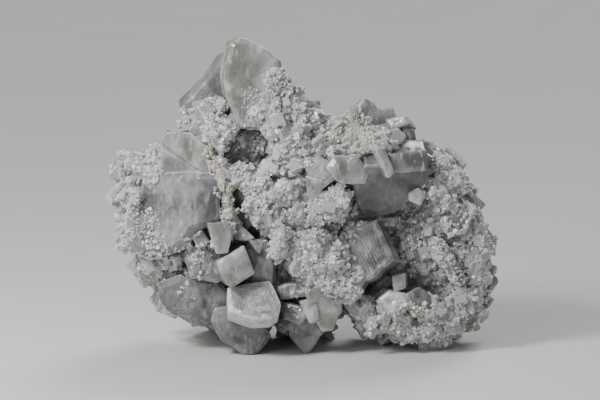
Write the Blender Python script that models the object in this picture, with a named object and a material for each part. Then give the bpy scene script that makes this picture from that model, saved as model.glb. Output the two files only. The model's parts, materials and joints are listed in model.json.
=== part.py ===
"""Barite with calcite: tabular barite crystals grown together, with crusts of small calcite crystals on them.

The barite is one solid, because its crystals run into each other. Each calcite crust is a solid of its own.
+Z is up, the show face looks along -Y, and the origin is on the surface that the specimen stands on.
Sizes in the tables are millimetres. A place on the show face is given as it looks from the front and a
little above: across to the right, then up the picture, then a depth that grows towards the back.
"""

import itertools
import math
import random
from collections import namedtuple

import bmesh
import bpy
import numpy as np
from mathutils import Matrix, Vector

MM = 0.001
LOOK_DOWN = math.radians(10)  # the show face is seen from this far above the horizon
FOOT_DEPTH = -20  # the depth of the front foot, which is where "up the picture" starts
GAP = 0.3  # between a calcite crust and the barite that it grew on
TO_CENTRE = (1.3, 1.08)  # moves the finished specimen over the origin, in millimetres
SEED = 7

BODY_GRID = 2.0  # size of the cells that the rounded body is gathered on
BODY_FACES = 700
SIDE_CRYSTALS = 80  # tries round the body; those that would fall on the show face are left out
SIDE_SIZES = ((2, 3.6), (6, 10), (8, 12))
SUNK = 1.8  # how far their middles lie below the body's surface
SUNK_MORE = 2.6  # and how much further at both ends, where they would show in the outline
ENDS = 43.0  # the ends start this far across
SADDLE = (12.0, 60.0)  # none within this far across of the middle, above this height
MIDDLE = (0, 4, 42)  # the point that the side crystals radiate from
SPREAD = (1.7, 0.8, 1.25)  # evens out their distance from each other on a wide, flat body
CRUST_GRID = 1.1
CRUST_FACES = 120
CRYSTALS_A_LUMP = 1.3
CRYSTAL_SIZES = ((2, 3.6), (2, 3.6), (3, 5))
SLANT = 0.35  # calcite's faces lean against each other
ROUGHNESS = 2.4  # height of the body's ledges and pits
SWELL_SIZE = 9.0
LEDGE_SIZE = 7.0

Plate = namedtuple("Plate", "name corners depth turn lean thick bevel")
Lump = namedtuple("Lump", "across up depth wide deep high")

# Tabular barite crystals: the corners of the broad face (across, up), its depth, how far it is turned to the
# right and leaned to look upwards in degrees, the thickness behind it and the width of its bevelled edge.
PLATES = [
    # The two tall crystals at the crown.
    Plate("crown", [(-23, 93.3), (-20.5, 95.4), (-17, 94.6), (-12.5, 92), (-8, 88.6), (-7.3, 85),
                    (-6, 76), (-14, 68), (-20.5, 68), (-24, 77), (-25, 82.5), (-24.4, 88)],
          -13, 12, 6, 9, 1.2),
    Plate("crown_shoulder", [(-12, 85.5), (-8, 86), (-4.5, 83), (-4.4, 77.5), (-7, 74), (-12, 76)],
          -15, 28, 12, 8, 1.0),
    Plate("wing", [(-24, 92), (-27.4, 90.6), (-32, 84.6), (-35.7, 80.6), (-39.5, 76.5), (-39, 73.7),
                   (-35, 70.5), (-28, 64), (-20, 66), (-20, 88)], -6, -12, 8, 6, 2.4),
    # The block under them, whose lower facet looks down.
    Plate("left_block", [(-43.2, 66), (-41.4, 67.5), (-35, 67), (-31, 63.5), (-29, 59), (-31, 55),
                         (-34.3, 55.8), (-44, 62.6), (-44.1, 64.5)], -17, -6, 28, 13, 0.8),
    Plate("left_block_facet", [(-44, 62.4), (-34.4, 55.8), (-35, 54), (-44, 55)], -18, -8, -28, 12, 0.6),
    # The large table on the left, with a clean step on its right.
    Plate("left_table", [(-47.5, 57), (-35.5, 57.6), (-27, 57), (-27, 40), (-34, 37), (-35.5, 33.5),
                         (-41, 30.5), (-48, 29), (-53.5, 32), (-55, 37), (-54, 46), (-51, 53)],
          -20, -10, 8, 18, 2.5),
    Plate("table_step", [(-34.3, 47), (-33.5, 54), (-26.4, 54.3), (-26.4, 40.2), (-33.5, 39.5)],
          -21.5, 4, 3, 12, 0.7),
    # Clear crystals at the lower left.
    Plate("clear_upper", [(-47.5, 28.5), (-43, 31), (-36.5, 27.5), (-32, 23), (-38, 19.5), (-45, 21.5)],
          -14, -12, 12, 10, 1.0),
    Plate("clear_lower", [(-45.5, 21.5), (-38.5, 24), (-31, 19), (-29, 10.2), (-34, 11.6), (-41, 11.6),
                          (-43.3, 14), (-45.6, 17.7)], -16, -14, -14, 13, 1.6),
    Plate("clear_inner", [(-37, 25), (-28, 24), (-23, 19), (-23.8, 12), (-31, 10.5), (-34, 17)],
          -19, 6, -8, 12, 1.2),
    Plate("left_shelf", [(-31, 34), (-24, 33), (-23, 27), (-27, 22), (-35, 23.5), (-37, 29)],
          -21, -4, 14, 12, 0.8),
    # Sharp crystals at the middle of the lower left.
    Plate("square_block", [(-27, 28.5), (-19, 33.4), (-15.6, 25), (-22.6, 20.6), (-25, 22.5)],
          -28, 10, 8, 12, 1.0),
    Plate("frosted_block", [(-24, 21), (-17.5, 22.2), (-11.3, 23), (-9.3, 19), (-8, 16), (-8.6, 13),
                            (-11, 11.7), (-16.5, 11.5), (-20.5, 12.8), (-23.7, 14)], -26, 4, 30, 9, 1.0),
    Plate("foot_blade", [(-29, 10.2), (-26, 4.2), (-22.5, 2.4), (-19, -0.4), (-16.6, -0.4), (-14, 1.2),
                         (-11, 5.5), (-12.2, 8), (-13.5, 11), (-20.5, 15), (-28, 14)], -20, 5, -6, 9, 1.4),
    Plate("card", [(-30, 40), (-24, 40.3), (-22.6, 36.5), (-23.6, 31), (-27.3, 30.6)], -27, 8, 4, 5, 0.4),
    Plate("small_card", [(-34.8, 36), (-31.8, 38), (-29.8, 35), (-33.4, 32.6)], -26, -8, 10, 7, 0.4),
    Plate("shadow_blade", [(-24, 49), (-20.5, 50), (-15.5, 40.5), (-19, 37), (-23.5, 44)],
          -19, -28, -14, 8, 0.6),
    Plate("splinter", [(-23, 38.6), (-20.5, 39.8), (-16, 35.6), (-18.5, 34.6), (-21.8, 35)],
          -22, -10, 18, 7, 0.4),
    Plate("niche_blade", [(-19, 33.5), (-12.3, 35), (-10.5, 28), (-10.8, 22), (-15.5, 19), (-20, 26)],
          -20, -14, -8, 8, 0.6),
    Plate("niche_card", [(-18, 35.4), (-12, 34.8), (-14.4, 30.6)], -22, 22, 16, 5, 0.3),
    # Plates fanned out at the foot in the middle.
    Plate("foot_strip", [(-9.6, 21), (-5, 22.6), (1, 21.6), (4, 18.5), (-2.5, 17.8), (-8.2, 17)],
          -20, -12, 16, 9, 0.7),
    Plate("foot_step", [(-8.2, 16.6), (-3, 15.6), (0.6, 13), (-2.6, 9.4), (-7.6, 11)], -20, -18, 18, 8, 0.6),
    Plate("foot_diamond", [(-6, 9.4), (-3.5, 15), (3, 13), (5, 7), (0.4, 0.4), (-1, 0.4), (-5.4, 5.4)],
          -18, 6, -6, 6, 1.0),
    Plate("foot_tooth", [(-11, 10), (-7, 12), (-5.4, 8), (-7, 6.4), (-9, 7)], -16, -22, 6, 7, 0.5),
    Plate("foot_smooth", [(-1, 19.6), (3.6, 22), (9.6, 18.4), (10.6, 13.4), (9, 11.4), (7.8, 7.3),
                          (4.2, 7), (1.6, 12)], -21, 12, -6, 9, 0.7),
    Plate("foot_wedge", [(-3, 16.5), (2.6, 18), (3, 11), (0.4, 9.6)], -22, -20, 10, 7, 0.5),
    # The slab that lies under the middle crust, and the ribbed one to its right.
    Plate("coated_slab", [(-5, 40), (3, 42), (7.6, 35), (11.4, 30.5), (17.4, 26.4), (17.6, 24), (13.5, 17),
                          (6, 16.5), (-2.5, 21), (-7.5, 27)], -20, -8, 16, 14, 1.2),
    Plate("ribbed_slab", [(9, 36), (12, 39.5), (20.5, 41), (25.6, 29), (19, 23), (16.5, 22.6), (13, 28)],
          -20, -12, 14, 13, 0.8),
    # The pale shelf in the middle, the narrow crystal beside it and the block that overhangs the hollow.
    Plate("shelf", [(8, 60), (15.3, 60.4), (18.4, 55), (17.3, 51.7), (10.8, 51.4), (8.2, 53), (5.6, 56.5)],
          -25, 14, 10, 13, 1.6),
    Plate("shelf_left", [(-2.4, 59), (3, 59.6), (8, 57.6), (8.4, 53.4), (4, 50), (0, 53.4)],
          -23, -14, 8, 12, 0.9),
    Plate("shelf_under", [(-1, 54), (4.6, 52.8), (3.2, 46.5), (-0.6, 47)], -23, -22, -6, 9, 0.6),
    Plate("matchstick", [(19.8, 62), (22.4, 62.6), (25.6, 55.6), (25.2, 54), (23.6, 53)], -27, 12, 6, 6, 0.4),
    Plate("overhang", [(13, 51), (17, 57), (27.5, 57.5), (36, 57), (36.3, 52.5), (33, 48.5), (28.5, 44.6),
                       (25.6, 42.6), (17.4, 41), (14.4, 45.6)], -19, 6, -30, 13, 0.6),
    Plate("overhang_top", [(24.5, 60.6), (35, 62.2), (36.4, 59), (35.6, 55.6), (25, 55)],
          -22, 8, 24, 12, 0.8),
    # The peak on the right and the pale chips beside it.
    Plate("peak", [(9, 70.4), (17, 77.6), (19.5, 76.6), (23, 73), (27.5, 69), (21.5, 65), (11, 65)],
          -6, 4, 10, 10, 0.9),
    Plate("peak_chip", [(24, 68), (27, 68.6), (29.6, 66), (27.6, 62.4), (24.4, 63.6)], -14, 10, 16, 10, 0.5),
    Plate("peak_rim", [(23, 71), (29, 72.6), (30.6, 70), (24.6, 67.6)], -9, -16, 22, 9, 0.5),
    Plate("peak_edge", [(28.6, 68.6), (32, 68), (32.7, 65.4), (31, 62.6), (28, 62.6)], -8, 16, 6, 9, 0.5),
    # Small crystals round the hollow on the right.
    Plate("hollow_chip", [(30, 49), (33, 50.6), (35.4, 48), (33.6, 45), (30.4, 46.6)], -21, 8, 10, 8, 0.4),
    Plate("rim_tip", [(50, 39), (55, 35.2), (53.6, 33.4), (48.4, 34)], -8, 14, 12, 12, 0.6),
    Plate("rim_card", [(41, 41.5), (46.5, 43.5), (48, 38), (43, 36)], -17, 18, 8, 8, 0.4),
    Plate("spur", [(52, 24.6), (57.4, 23.8), (58, 22), (54.6, 17.4), (50.4, 19.6)], -6, 20, 10, 10, 0.8),
    Plate("lower_spur", [(52, 17.4), (56.6, 17), (54.4, 13.2), (50.6, 13.6)], -7, 16, 0, 9, 0.5),
    Plate("upper_tip", [(42, 56.6), (44.7, 55), (47.2, 51.2), (44, 49)], -8, 20, 4, 9, 0.5),
    Plate("pocket_card", [(25, 24), (29, 25), (29.4, 20.4), (25.6, 19)], -19, -6, 8, 10, 0.4),
    Plate("pocket_wedge", [(20.6, 17.4), (24.4, 20.4), (28.6, 19), (30.6, 16.6), (26, 12.4), (21, 13.4)],
          -20, -14, 24, 9, 0.5),
    Plate("pocket_block", [(29.4, 18.6), (33.4, 21), (36.6, 18.6), (36.6, 13.6), (32, 12)],
          -20, 14, 12, 9, 0.5),
    Plate("ridge_upper", [(38, 34.4), (40, 35.4), (44.6, 27.6), (42.4, 26)], -17, 24, 4, 9, 0.3),
    Plate("ridge_lower", [(41.4, 29), (43.4, 30), (47.6, 22.4), (45.6, 21)], -18, 24, 0, 9, 0.3),
    Plate("right_toe", [(33.4, 1.4), (36.2, -1.4), (38.6, -1.4), (43.4, 3.4), (43.2, 9), (36, 8)],
          -12, 10, -10, 12, 0.7),
]

# Rounded masses of barite behind the plates: centre (across, up, depth), then half-sizes.
BODY = [
    Lump(2, 42, 3, 27, 20, 20),
    Lump(-40, 44, 1, 14, 17, 13),
    Lump(-36, 24, 1, 11, 14, 11),
    Lump(-22, 64, 2, 12, 13, 13),
    Lump(-17, 77, 2, 8, 7, 9),
    Lump(-3, 64, 2, 13, 14, 10),
    Lump(-20, 14, 0, 9, 15, 11),
    Lump(-20, 10, 12, 9, 12, 8),
    Lump(-1, 17, 0, 8, 14, 10),
    Lump(0, 10, 9, 6, 10, 8),
    Lump(35, 35, 8, 18, 17, 19),
    Lump(31, 53.4, 3, 15, 15, 8),
    Lump(46, 28, 0, 8.4, 12, 13),
    Lump(42, 42, -1, 7.4, 12, 9.6),
    Lump(17, 65, 2, 12, 11, 8),
    Lump(37, 10, 1, 9, 17, 9),
    Lump(46, 17, -1, 7.5, 11, 8),
    Lump(22, 15, -1, 9, 13, 8),
    Lump(30, 12, -1, 9, 14, 8),
    Lump(-8, 24, 2, 16, 16, 12),
    Lump(-20, 36, 1, 11, 15, 11),
]

# Calcite crusts: lumps of small crystals, by the crust's name.
CRUSTS = {
    "calcite_crust_crown": [
        Lump(-30, 75.5, -10, 3, 4, 3), Lump(-26, 75, -11, 3, 4, 3), Lump(-32.5, 72.4, -9, 3, 4, 3),
        Lump(-28, 71, -12, 4, 5, 4), Lump(-24, 68.5, -14, 4, 5, 4), Lump(-29.5, 67, -13, 3.4, 5, 4),
        Lump(-26.5, 63.5, -16, 3.4, 5, 4), Lump(-37, 70.4, -10, 3.2, 4.5, 3.2),
    ],
    "calcite_crust_shoulder": [
        Lump(-14, 72.6, -16, 3, 4, 3.4), Lump(-10, 75.6, -15, 3.4, 4, 3.4), Lump(-5, 74, -12, 4.4, 5, 4),
        Lump(-1, 70.6, -11, 4, 5, 3.6), Lump(3, 68, -10, 3, 5, 3), Lump(-9.6, 69, -17, 4, 5, 4),
        Lump(-4.4, 65.6, -17, 4.4, 5, 4), Lump(-7.6, 61.4, -19, 3, 4, 3),
        Lump(7.4, 66, -11, 3, 5, 3), Lump(12.4, 65.4, -13, 3.6, 5, 3.2), Lump(17.6, 65, -14, 3.6, 5, 3.2),
        Lump(22, 62.8, -15, 3.4, 5, 3), Lump(15, 62, -17, 3.6, 4, 2.8), Lump(9.4, 62.6, -17, 3.4, 4, 2.6),
    ],
    "calcite_crust_centre": [
        Lump(-21, 53.6, -18, 5, 5, 4), Lump(-14.6, 50, -20, 5, 5, 4.6), Lump(-8.6, 48.4, -20, 5, 5, 5),
        Lump(-2.8, 43.4, -20, 5, 5, 4), Lump(-14, 44.6, -21, 4.6, 5, 4.6), Lump(-10, 41, -21, 4.6, 5, 4),
        Lump(-8, 37, -22, 3.4, 4.4, 3.6), Lump(-8.6, 32, -24, 2.8, 3.4, 2.8),
        Lump(8, 46, -21, 4.4, 5, 4.4), Lump(3, 44.5, -21, 4.4, 4.6, 3.6),
        Lump(-3, 35, -20, 4, 4, 4), Lump(2, 33.6, -21, 5.6, 4.4, 5), Lump(7.6, 28.6, -21, 5, 4.4, 5),
        Lump(13.4, 24.6, -20, 4, 4, 3.4), Lump(0, 27.6, -22, 5.4, 4.4, 5), Lump(6.4, 23, -21, 5, 4, 4),
        Lump(12.4, 20.4, -20, 4, 4, 3.4),
    ],
    "calcite_crust_left": [
        Lump(-55, 55.4, -10, 3.4, 5, 4), Lump(-53, 49, -13, 5, 6, 5.6), Lump(-50.6, 57, -10, 3.4, 5, 3.4),
        Lump(-46, 59.4, -11, 3.6, 5, 3.4), Lump(-54, 35, -12, 3.4, 5, 4), Lump(-54, 41, -11, 3, 5, 4),
    ],
    "calcite_crust_right": [
        Lump(40, 57, -9, 4, 6, 3.4), Lump(43, 52, -10, 4, 6, 4), Lump(38.6, 50.6, -14, 4, 5, 3.4),
        Lump(40.6, 46, -13, 4, 5, 4), Lump(46, 42.6, -10, 4, 6, 4), Lump(49.6, 37, -9, 4, 6, 4),
        Lump(50.4, 30.4, -9, 4, 6, 4.4), Lump(50.6, 24.6, -9, 4, 6, 4), Lump(47.4, 18, -11, 4, 6, 4),
        Lump(44.6, 14.4, -12, 4, 5, 4),
        Lump(17, 15, -14, 4, 5, 3.6), Lump(21.4, 11.6, -15, 4.4, 5, 3.4), Lump(26.6, 9.6, -15, 4.4, 5, 3.6),
        Lump(31.6, 8, -14, 4.4, 5, 4), Lump(37.4, 12.6, -15, 4.4, 5, 4), Lump(42, 11, -13, 4.4, 5, 4),
    ],
}


def in_space(across, up, depth):
    """A place on the show face, in millimetres, as a point in space, in metres."""
    height = (up - (depth - FOOT_DEPTH) * math.sin(LOOK_DOWN)) / math.cos(LOOK_DOWN)
    return Vector((across, depth, height)) * MM


def put(name, mesh):
    thing = bpy.data.objects.new(name, mesh)
    bpy.context.scene.collection.objects.link(thing)
    return thing


def mesh_of(name, work):
    """The mesh of a bmesh, with its faces turned outwards."""
    bmesh.ops.recalc_face_normals(work, faces=work.faces)
    mesh = bpy.data.meshes.new(name)
    work.to_mesh(mesh)
    work.free()
    return mesh


def evaluated(thing):
    """The mesh of an object with its modifiers applied, the object itself removed."""
    graph = bpy.context.evaluated_depsgraph_get()
    mesh = bpy.data.meshes.new_from_object(thing.evaluated_get(graph))
    bpy.data.objects.remove(thing)
    return mesh


def facing(corners):
    """The direction that a flat outline faces, with its corners running counter-clockwise round it."""
    around = zip(corners, corners[1:] + corners[:1], corners[2:] + corners[:2])
    return sum(((b - a).cross(c - b) for a, b, c in around), Vector()).normalized()


def inset(corners, by):
    """A convex outline in its own plane, moved inwards by a distance. Its corners run round the normal."""
    normal = facing(corners)
    moved = []
    for before, here, after in zip(corners[-1:] + corners[:-1], corners, corners[1:] + corners[:1]):
        left = normal.cross((here - before).normalized())
        right = normal.cross((after - here).normalized())
        middle = (left + right).normalized()
        moved.append(here + middle * by / max(middle.dot(left), 0.5))
    return moved


def face_corners(plate):
    """The corners of the broad face in space, counter-clockwise as seen from the front."""
    middle_x = sum(x for x, _ in plate.corners) / len(plate.corners)
    middle_up = sum(u for _, u in plate.corners) / len(plate.corners)
    turn, lean = math.tan(math.radians(plate.turn)), math.tan(math.radians(plate.lean))
    points = [in_space(x, u, plate.depth + (x - middle_x) * turn + (u - middle_up) * lean)
              for x, u in plate.corners]
    area = sum(a.x * b.z - b.x * a.z for a, b in zip(points, points[1:] + points[:1]))
    return points if area > 0 else points[::-1]


def plate_mesh(plate, grow):
    """A tabular crystal: its outline carried back along its normal, with both broad faces bevelled."""
    outline = face_corners(plate)
    normal = facing(outline)
    wide = inset(outline, -grow * MM)
    narrow = inset(outline, plate.bevel * MM)
    thick, bevel = plate.thick * MM, 0.7 * plate.bevel * MM
    rings = [(narrow, grow * MM), (wide, -bevel), (wide, bevel - thick), (narrow, -thick - grow * MM)]
    work = bmesh.new()
    loops = [[work.verts.new(p + normal * rise) for p in ring] for ring, rise in rings]
    work.faces.new(loops[0])
    work.faces.new(loops[-1][::-1])
    for upper, lower in zip(loops, loops[1:]):
        for i in range(len(upper)):
            j = (i + 1) % len(upper)
            work.faces.new((upper[i], lower[i], lower[j], upper[j]))
    return mesh_of(plate.name, work)


def hashed(cells, seed):
    """A number from 0 to 1 for each whole-numbered cell, the same each time."""
    mixed = cells[:, 0] * 73856093 ^ cells[:, 1] * 19349663 ^ cells[:, 2] * 83492791 ^ seed * 2654435761
    mixed = (mixed ^ mixed >> 13) * 1274126177
    return ((mixed ^ mixed >> 16) & 0xFFFF) / 0xFFFF


def swells(points, size, seed):
    """Smooth noise from 0 to 1: a number at each corner of a cubic lattice, blended between the corners."""
    at = points / size
    base = np.floor(at).astype(np.int64)
    part = at - base
    part = part * part * (3 - 2 * part)
    total = np.zeros(len(points))
    for corner in itertools.product((0, 1), repeat=3):
        weight = np.prod(np.where(corner, part, 1 - part), axis=1)
        total += weight * hashed(base + corner, seed)
    return total


def nearest_spot(points, size, seed):
    """The distance to the nearest of a set of scattered spots, and a number from 0 to 1 that is its own."""
    at = points / size
    base = np.floor(at).astype(np.int64)
    least = np.full(len(points), 9.0)
    own = np.zeros(len(points))
    for step in itertools.product((-1, 0, 1), repeat=3):
        cell = base + step
        spot = cell + np.stack([hashed(cell, seed + k) for k in range(3)], axis=1)
        far = np.linalg.norm(at - spot, axis=1)
        own = np.where(far < least, hashed(cell, seed + 3), own)
        least = np.minimum(least, far)
    return least, own


def ledges(points):
    """How far each point of the body stands out, in millimetres: broken ledges over slow swells."""
    level = nearest_spot(points, LEDGE_SIZE, 20)[1]
    return ROUGHNESS * (swells(points, SWELL_SIZE, 10) + 0.5 * swells(points, SWELL_SIZE / 2, 11) + level - 1.25)


def lump_mass(name, lumps, grid, faces, rough):
    """Rounded lumps gathered into one closed mesh of about this many faces, with a rough surface."""
    work = bmesh.new()
    for lump in lumps:
        size = [s * MM for s in (lump.wide, lump.deep, lump.high)]
        place = Matrix.Translation(in_space(lump.across, lump.up, lump.depth)) @ Matrix.Diagonal((*size, 1))
        bmesh.ops.create_icosphere(work, subdivisions=4, radius=1, matrix=place)
    thing = put(name, mesh_of(name, work))
    remesh = thing.modifiers.new("Gather", "REMESH")
    remesh.mode = "VOXEL"
    remesh.voxel_size = grid * MM
    mesh = evaluated(thing)
    if rough:
        points = np.array([v.co for v in mesh.vertices])
        for vertex, rise in zip(mesh.vertices, ledges(points / MM)):
            vertex.co += vertex.normal * rise * MM
    thing = put(name, mesh)
    fewer = thing.modifiers.new("Facets", "DECIMATE")
    fewer.ratio = min(1.0, faces / (2 * len(mesh.polygons)))
    return largest_shell(evaluated(thing))


def largest_shell(mesh):
    """The mesh without its small loose shells."""
    work = bmesh.new()
    work.from_mesh(mesh)
    left, shells = set(work.verts), []
    while left:
        stack, shell = [left.pop()], []
        while stack:
            vertex = stack.pop()
            shell.append(vertex)
            near = {e.other_vert(vertex) for e in vertex.link_edges} & left
            left -= near
            stack.extend(near)
        shells.append(shell)
    shells.sort(key=len)
    for shell in shells[:-1]:
        bmesh.ops.delete(work, geom=shell, context="VERTS")
    bmesh.ops.triangulate(work, faces=work.faces)
    return mesh_of(mesh.name, work)


def fuse(name, base, joined, cutters=()):
    """One mesh: the base with every mesh of joined added to it, then every cutter taken away."""
    thing = put(name, base)
    helpers = bpy.data.collections.new(name + "_helpers")
    bpy.context.scene.collection.children.link(helpers)
    for mesh in joined:
        helpers.objects.link(bpy.data.objects.new(mesh.name, mesh))
    union = thing.modifiers.new("Join", "BOOLEAN")
    union.operation = "UNION"
    union.operand_type = "COLLECTION"
    union.collection = helpers
    tools = []
    for mesh in cutters:
        tools.append(put(mesh.name + "_cutter", mesh))
        cut = thing.modifiers.new("Cut", "BOOLEAN")
        cut.operation = "DIFFERENCE"
        cut.object = tools[-1]
    made = evaluated(thing)
    for helper in list(helpers.objects) + tools:
        bpy.data.objects.remove(helper)
    bpy.data.collections.remove(helpers)
    return made


def block_mesh(name, centre, out, size, spin, slant):
    """A small crystal standing on a surface: a box, slanted for calcite, turned round the way it points."""
    work = bmesh.new()
    bmesh.ops.create_cube(work, size=1)
    shear = Matrix(((1, 0, slant, 0), (0, 1, slant, 0), (0, 0, 1, 0), (0, 0, 0, 1)))
    turn = out.to_track_quat("Z", "Y").to_matrix().to_4x4() @ Matrix.Rotation(spin, 4, "Z")
    work.transform(Matrix.Translation(centre) @ turn @ shear @ Matrix.Diagonal((*size, 1)))
    return mesh_of(name, work)


def swollen(mesh, grow):
    """A copy of the mesh with its surface moved outwards."""
    copy = mesh.copy()
    moves = [v.normal * grow * MM for v in copy.vertices]
    for vertex, move in zip(copy.vertices, moves):
        vertex.co += move
    return copy


def chips_on(mesh, count, dice):
    """Slanted crystals scattered over the front of a crust, half sunk in it."""
    faces = [f for f in mesh.polygons if f.normal.y < 0.3]
    chips = []
    for face in dice.choices(faces, [f.area for f in faces], k=count):
        tilt = Vector([dice.uniform(-1, 1) for _ in range(3)])
        size = [dice.uniform(*s) * MM for s in CRYSTAL_SIZES]
        spin = dice.uniform(0, math.tau)
        out = (face.normal + 0.9 * tilt).normalized()
        chips.append(block_mesh("chip", face.center, out, size, spin, SLANT))
    return chips


def outermost(direction):
    """Where a line from the middle last leaves the body's lumps, in this direction, and the slope there."""
    start = Vector(MIDDLE) * MM
    found = []
    for lump in BODY:
        size = Vector((lump.wide, lump.deep, lump.high)) * MM
        offset = start - in_space(lump.across, lump.up, lump.depth)
        line = Vector([d / r for d, r in zip(direction, size)])
        near = Vector([o / r for o, r in zip(offset, size)])
        a, b, c = line.dot(line), line.dot(near), near.dot(near) - 1
        if b * b > a * c:
            reach = (math.sqrt(b * b - a * c) - b) / a
            at = near + line * reach
            found.append((reach, Vector([p / r for p, r in zip(at, size)]).normalized()))
    reach, slope = max(found, key=lambda pair: pair[0])
    return start + direction * reach, slope


def side_crystals():
    """Place, long direction, spin and size of each tabular crystal on the sides, the back and the underside."""
    dice = random.Random(SEED)
    made = []
    for i in range(SIDE_CRYSTALS):
        level = 1 - 2 * (i + 0.5) / SIDE_CRYSTALS
        turn = i * math.pi * (3 - math.sqrt(5))
        ring = math.sqrt(1 - level * level)
        direction = Vector((ring * math.cos(turn), level, ring * math.sin(turn)))
        direction = Vector([d * s for d, s in zip(direction, SPREAD)]).normalized()
        place, slope = outermost(direction)
        tilt = Vector([dice.uniform(-1, 1) for _ in range(3)])
        size = [dice.uniform(*limits) for limits in SIDE_SIZES]
        spin = dice.uniform(0, math.tau)
        sunk = SUNK + SUNK_MORE * (abs(place.x) > ENDS * MM)
        in_saddle = abs(place.x) < SADDLE[0] * MM and place.z > SADDLE[1] * MM
        if place.y > -9 * MM and place.z > 9 * MM and not in_saddle:
            made.append((place - slope * sunk * MM, (slope + 0.7 * tilt).normalized(), spin, size))
    return made


def barite(body, grow):
    """The barite solid: the rough body, its plates, small blocks over its back, cut flat where it stands."""
    plates = [plate_mesh(plate, grow) for plate in PLATES]
    blocks = [block_mesh("block", place, out, [(s + 2 * grow) * MM for s in size], spin, 0.0)
              for place, out, spin, size in side_crystals()]
    below = bmesh.new()
    bmesh.ops.create_cube(below, size=1, matrix=Matrix.Translation((0, 0, -0.1 - grow * MM))
                          @ Matrix.Diagonal((0.3, 0.3, 0.2, 1)))
    whole = fuse("barite_cluster", swollen(body, 1.3 * grow), plates + blocks, [mesh_of("below", below)])
    return largest_shell(whole)


def crust(name, lumps, barite_grown):
    """A calcite crust: its lumps with small slanted crystals on them, cut back clear of the barite."""
    dice = random.Random(name)
    mass = lump_mass(name, lumps, CRUST_GRID, CRUST_FACES, False)
    crystals = chips_on(mass, round(CRYSTALS_A_LUMP * len(lumps)), dice)
    return largest_shell(fuse(name, mass, crystals, [barite_grown]))


def material(name, colour, roughness):
    made = bpy.data.materials.new(name)
    made.use_nodes = True
    shader = made.node_tree.nodes["Principled BSDF"]
    shader.inputs["Base Color"].default_value = (*colour, 1)
    shader.inputs["Roughness"].default_value = roughness
    shader.inputs["Metallic"].default_value = 0.0
    return made


def finished(name, mesh, look):
    """The node of a mesh: moved over the origin, with one material."""
    mesh.transform(Matrix.Translation(Vector((*TO_CENTRE, 0)) * MM))
    mesh.materials.clear()
    mesh.materials.append(look)
    return put(name, mesh)


def main():
    for thing in list(bpy.data.objects):
        bpy.data.objects.remove(thing)
    barite_look = material("barite", (0.56, 0.56, 0.54), 0.3)
    calcite_look = material("calcite", (0.78, 0.77, 0.74), 0.5)
    body = lump_mass("body", BODY, BODY_GRID, BODY_FACES, True)
    grown = barite(body, GAP)
    crusts = {name: crust(name, lumps, grown.copy()) for name, lumps in CRUSTS.items()}
    finished("barite_cluster", barite(body, 0.0), barite_look)
    for name, mesh in crusts.items():
        finished(name, mesh, calcite_look)


main()
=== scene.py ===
"""Barite with calcite: tabular barite crystals grown together, with crusts of small calcite crystals.

The places in the tables are the solids' own, in millimetres: across to the right, then up the picture as
the show face is seen from the front and a little above, then a depth that grows towards the back.
"""

import itertools
import json
import math
import random
from collections import namedtuple

import bpy
import numpy as np
from bpy.props import FloatProperty, FloatVectorProperty, IntProperty, PointerProperty
from mathutils import Matrix, Vector

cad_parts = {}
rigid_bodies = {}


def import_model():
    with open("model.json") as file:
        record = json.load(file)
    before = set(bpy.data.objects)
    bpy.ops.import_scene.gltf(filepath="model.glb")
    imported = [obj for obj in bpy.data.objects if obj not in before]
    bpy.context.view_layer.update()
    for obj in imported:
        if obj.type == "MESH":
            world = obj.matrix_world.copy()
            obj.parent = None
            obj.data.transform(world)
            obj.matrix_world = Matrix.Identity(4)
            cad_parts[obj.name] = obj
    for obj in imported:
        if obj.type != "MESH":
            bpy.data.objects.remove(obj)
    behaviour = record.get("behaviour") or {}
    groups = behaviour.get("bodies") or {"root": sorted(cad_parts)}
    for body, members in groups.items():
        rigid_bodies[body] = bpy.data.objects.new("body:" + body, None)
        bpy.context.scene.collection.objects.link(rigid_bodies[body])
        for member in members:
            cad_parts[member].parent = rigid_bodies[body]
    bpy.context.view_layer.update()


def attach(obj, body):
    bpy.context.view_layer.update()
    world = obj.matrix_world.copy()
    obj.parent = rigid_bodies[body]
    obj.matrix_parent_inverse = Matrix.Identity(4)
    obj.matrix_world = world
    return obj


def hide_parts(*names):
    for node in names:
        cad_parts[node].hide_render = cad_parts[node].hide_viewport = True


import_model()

bl_info = {
    "name": "Barite with calcite",
    "version": (1, 0, 0),
    "blender": (4, 5, 0),
    "location": "3D View > Sidebar > Specimen",
    "description": "Builds a cluster of tabular barite crystals with crusts of small calcite crystals",
    "category": "Object",
}

MM = 0.001
LOOK_DOWN = math.radians(10)  # the show face is seen from this far above the horizon
FOOT_DEPTH = -20  # the depth of the front foot, which is where "up the picture" starts
TO_CENTRE = np.array((1.3, 1.08, 0)) * MM  # moves the finished specimen over the origin
CLEAR_OF_FLOOR = 0.02 * MM
SEED = 7  # of the scattered crystals; each pattern of noise has a seed of its own, given where it is used

# In millimetres, as are all sizes below unless they are multiplied by MM.
BODY_GRID = 0.9
CRUST_GRID = 0.6
ROUGHNESS = 2.4  # height of the body's ledges and pits
SWELL_SIZE = 9.0
LEDGE_SIZE = 7.0
SHRUNK = {"calcite_crust_crown": 1.3}  # how much less far out a crust's skin lies

# Tabular crystals on the sides, the back and the underside.
SIDE_CRYSTALS = 80  # tries round the body; those that would fall on the show face are left out
SIDE_SIZES = ((2, 3.6), (6, 10), (8, 12))  # from and to: thickness, width and height
SIDE_BEVEL = 0.4
SUNK = 1.8  # how far their middles lie below the body's surface
SUNK_MORE = 2.6  # and how much further at both ends, where they would show in the outline
ENDS = 43.0  # the ends start this far across
SADDLE = (12.0, 60.0)  # none within this far across of the middle, above this height
MIDDLE = (0, 4, 42)  # the point that the side crystals radiate from
SPREAD = (1.7, 0.8, 1.25)  # evens out their distance from each other on a wide, flat body

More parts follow.
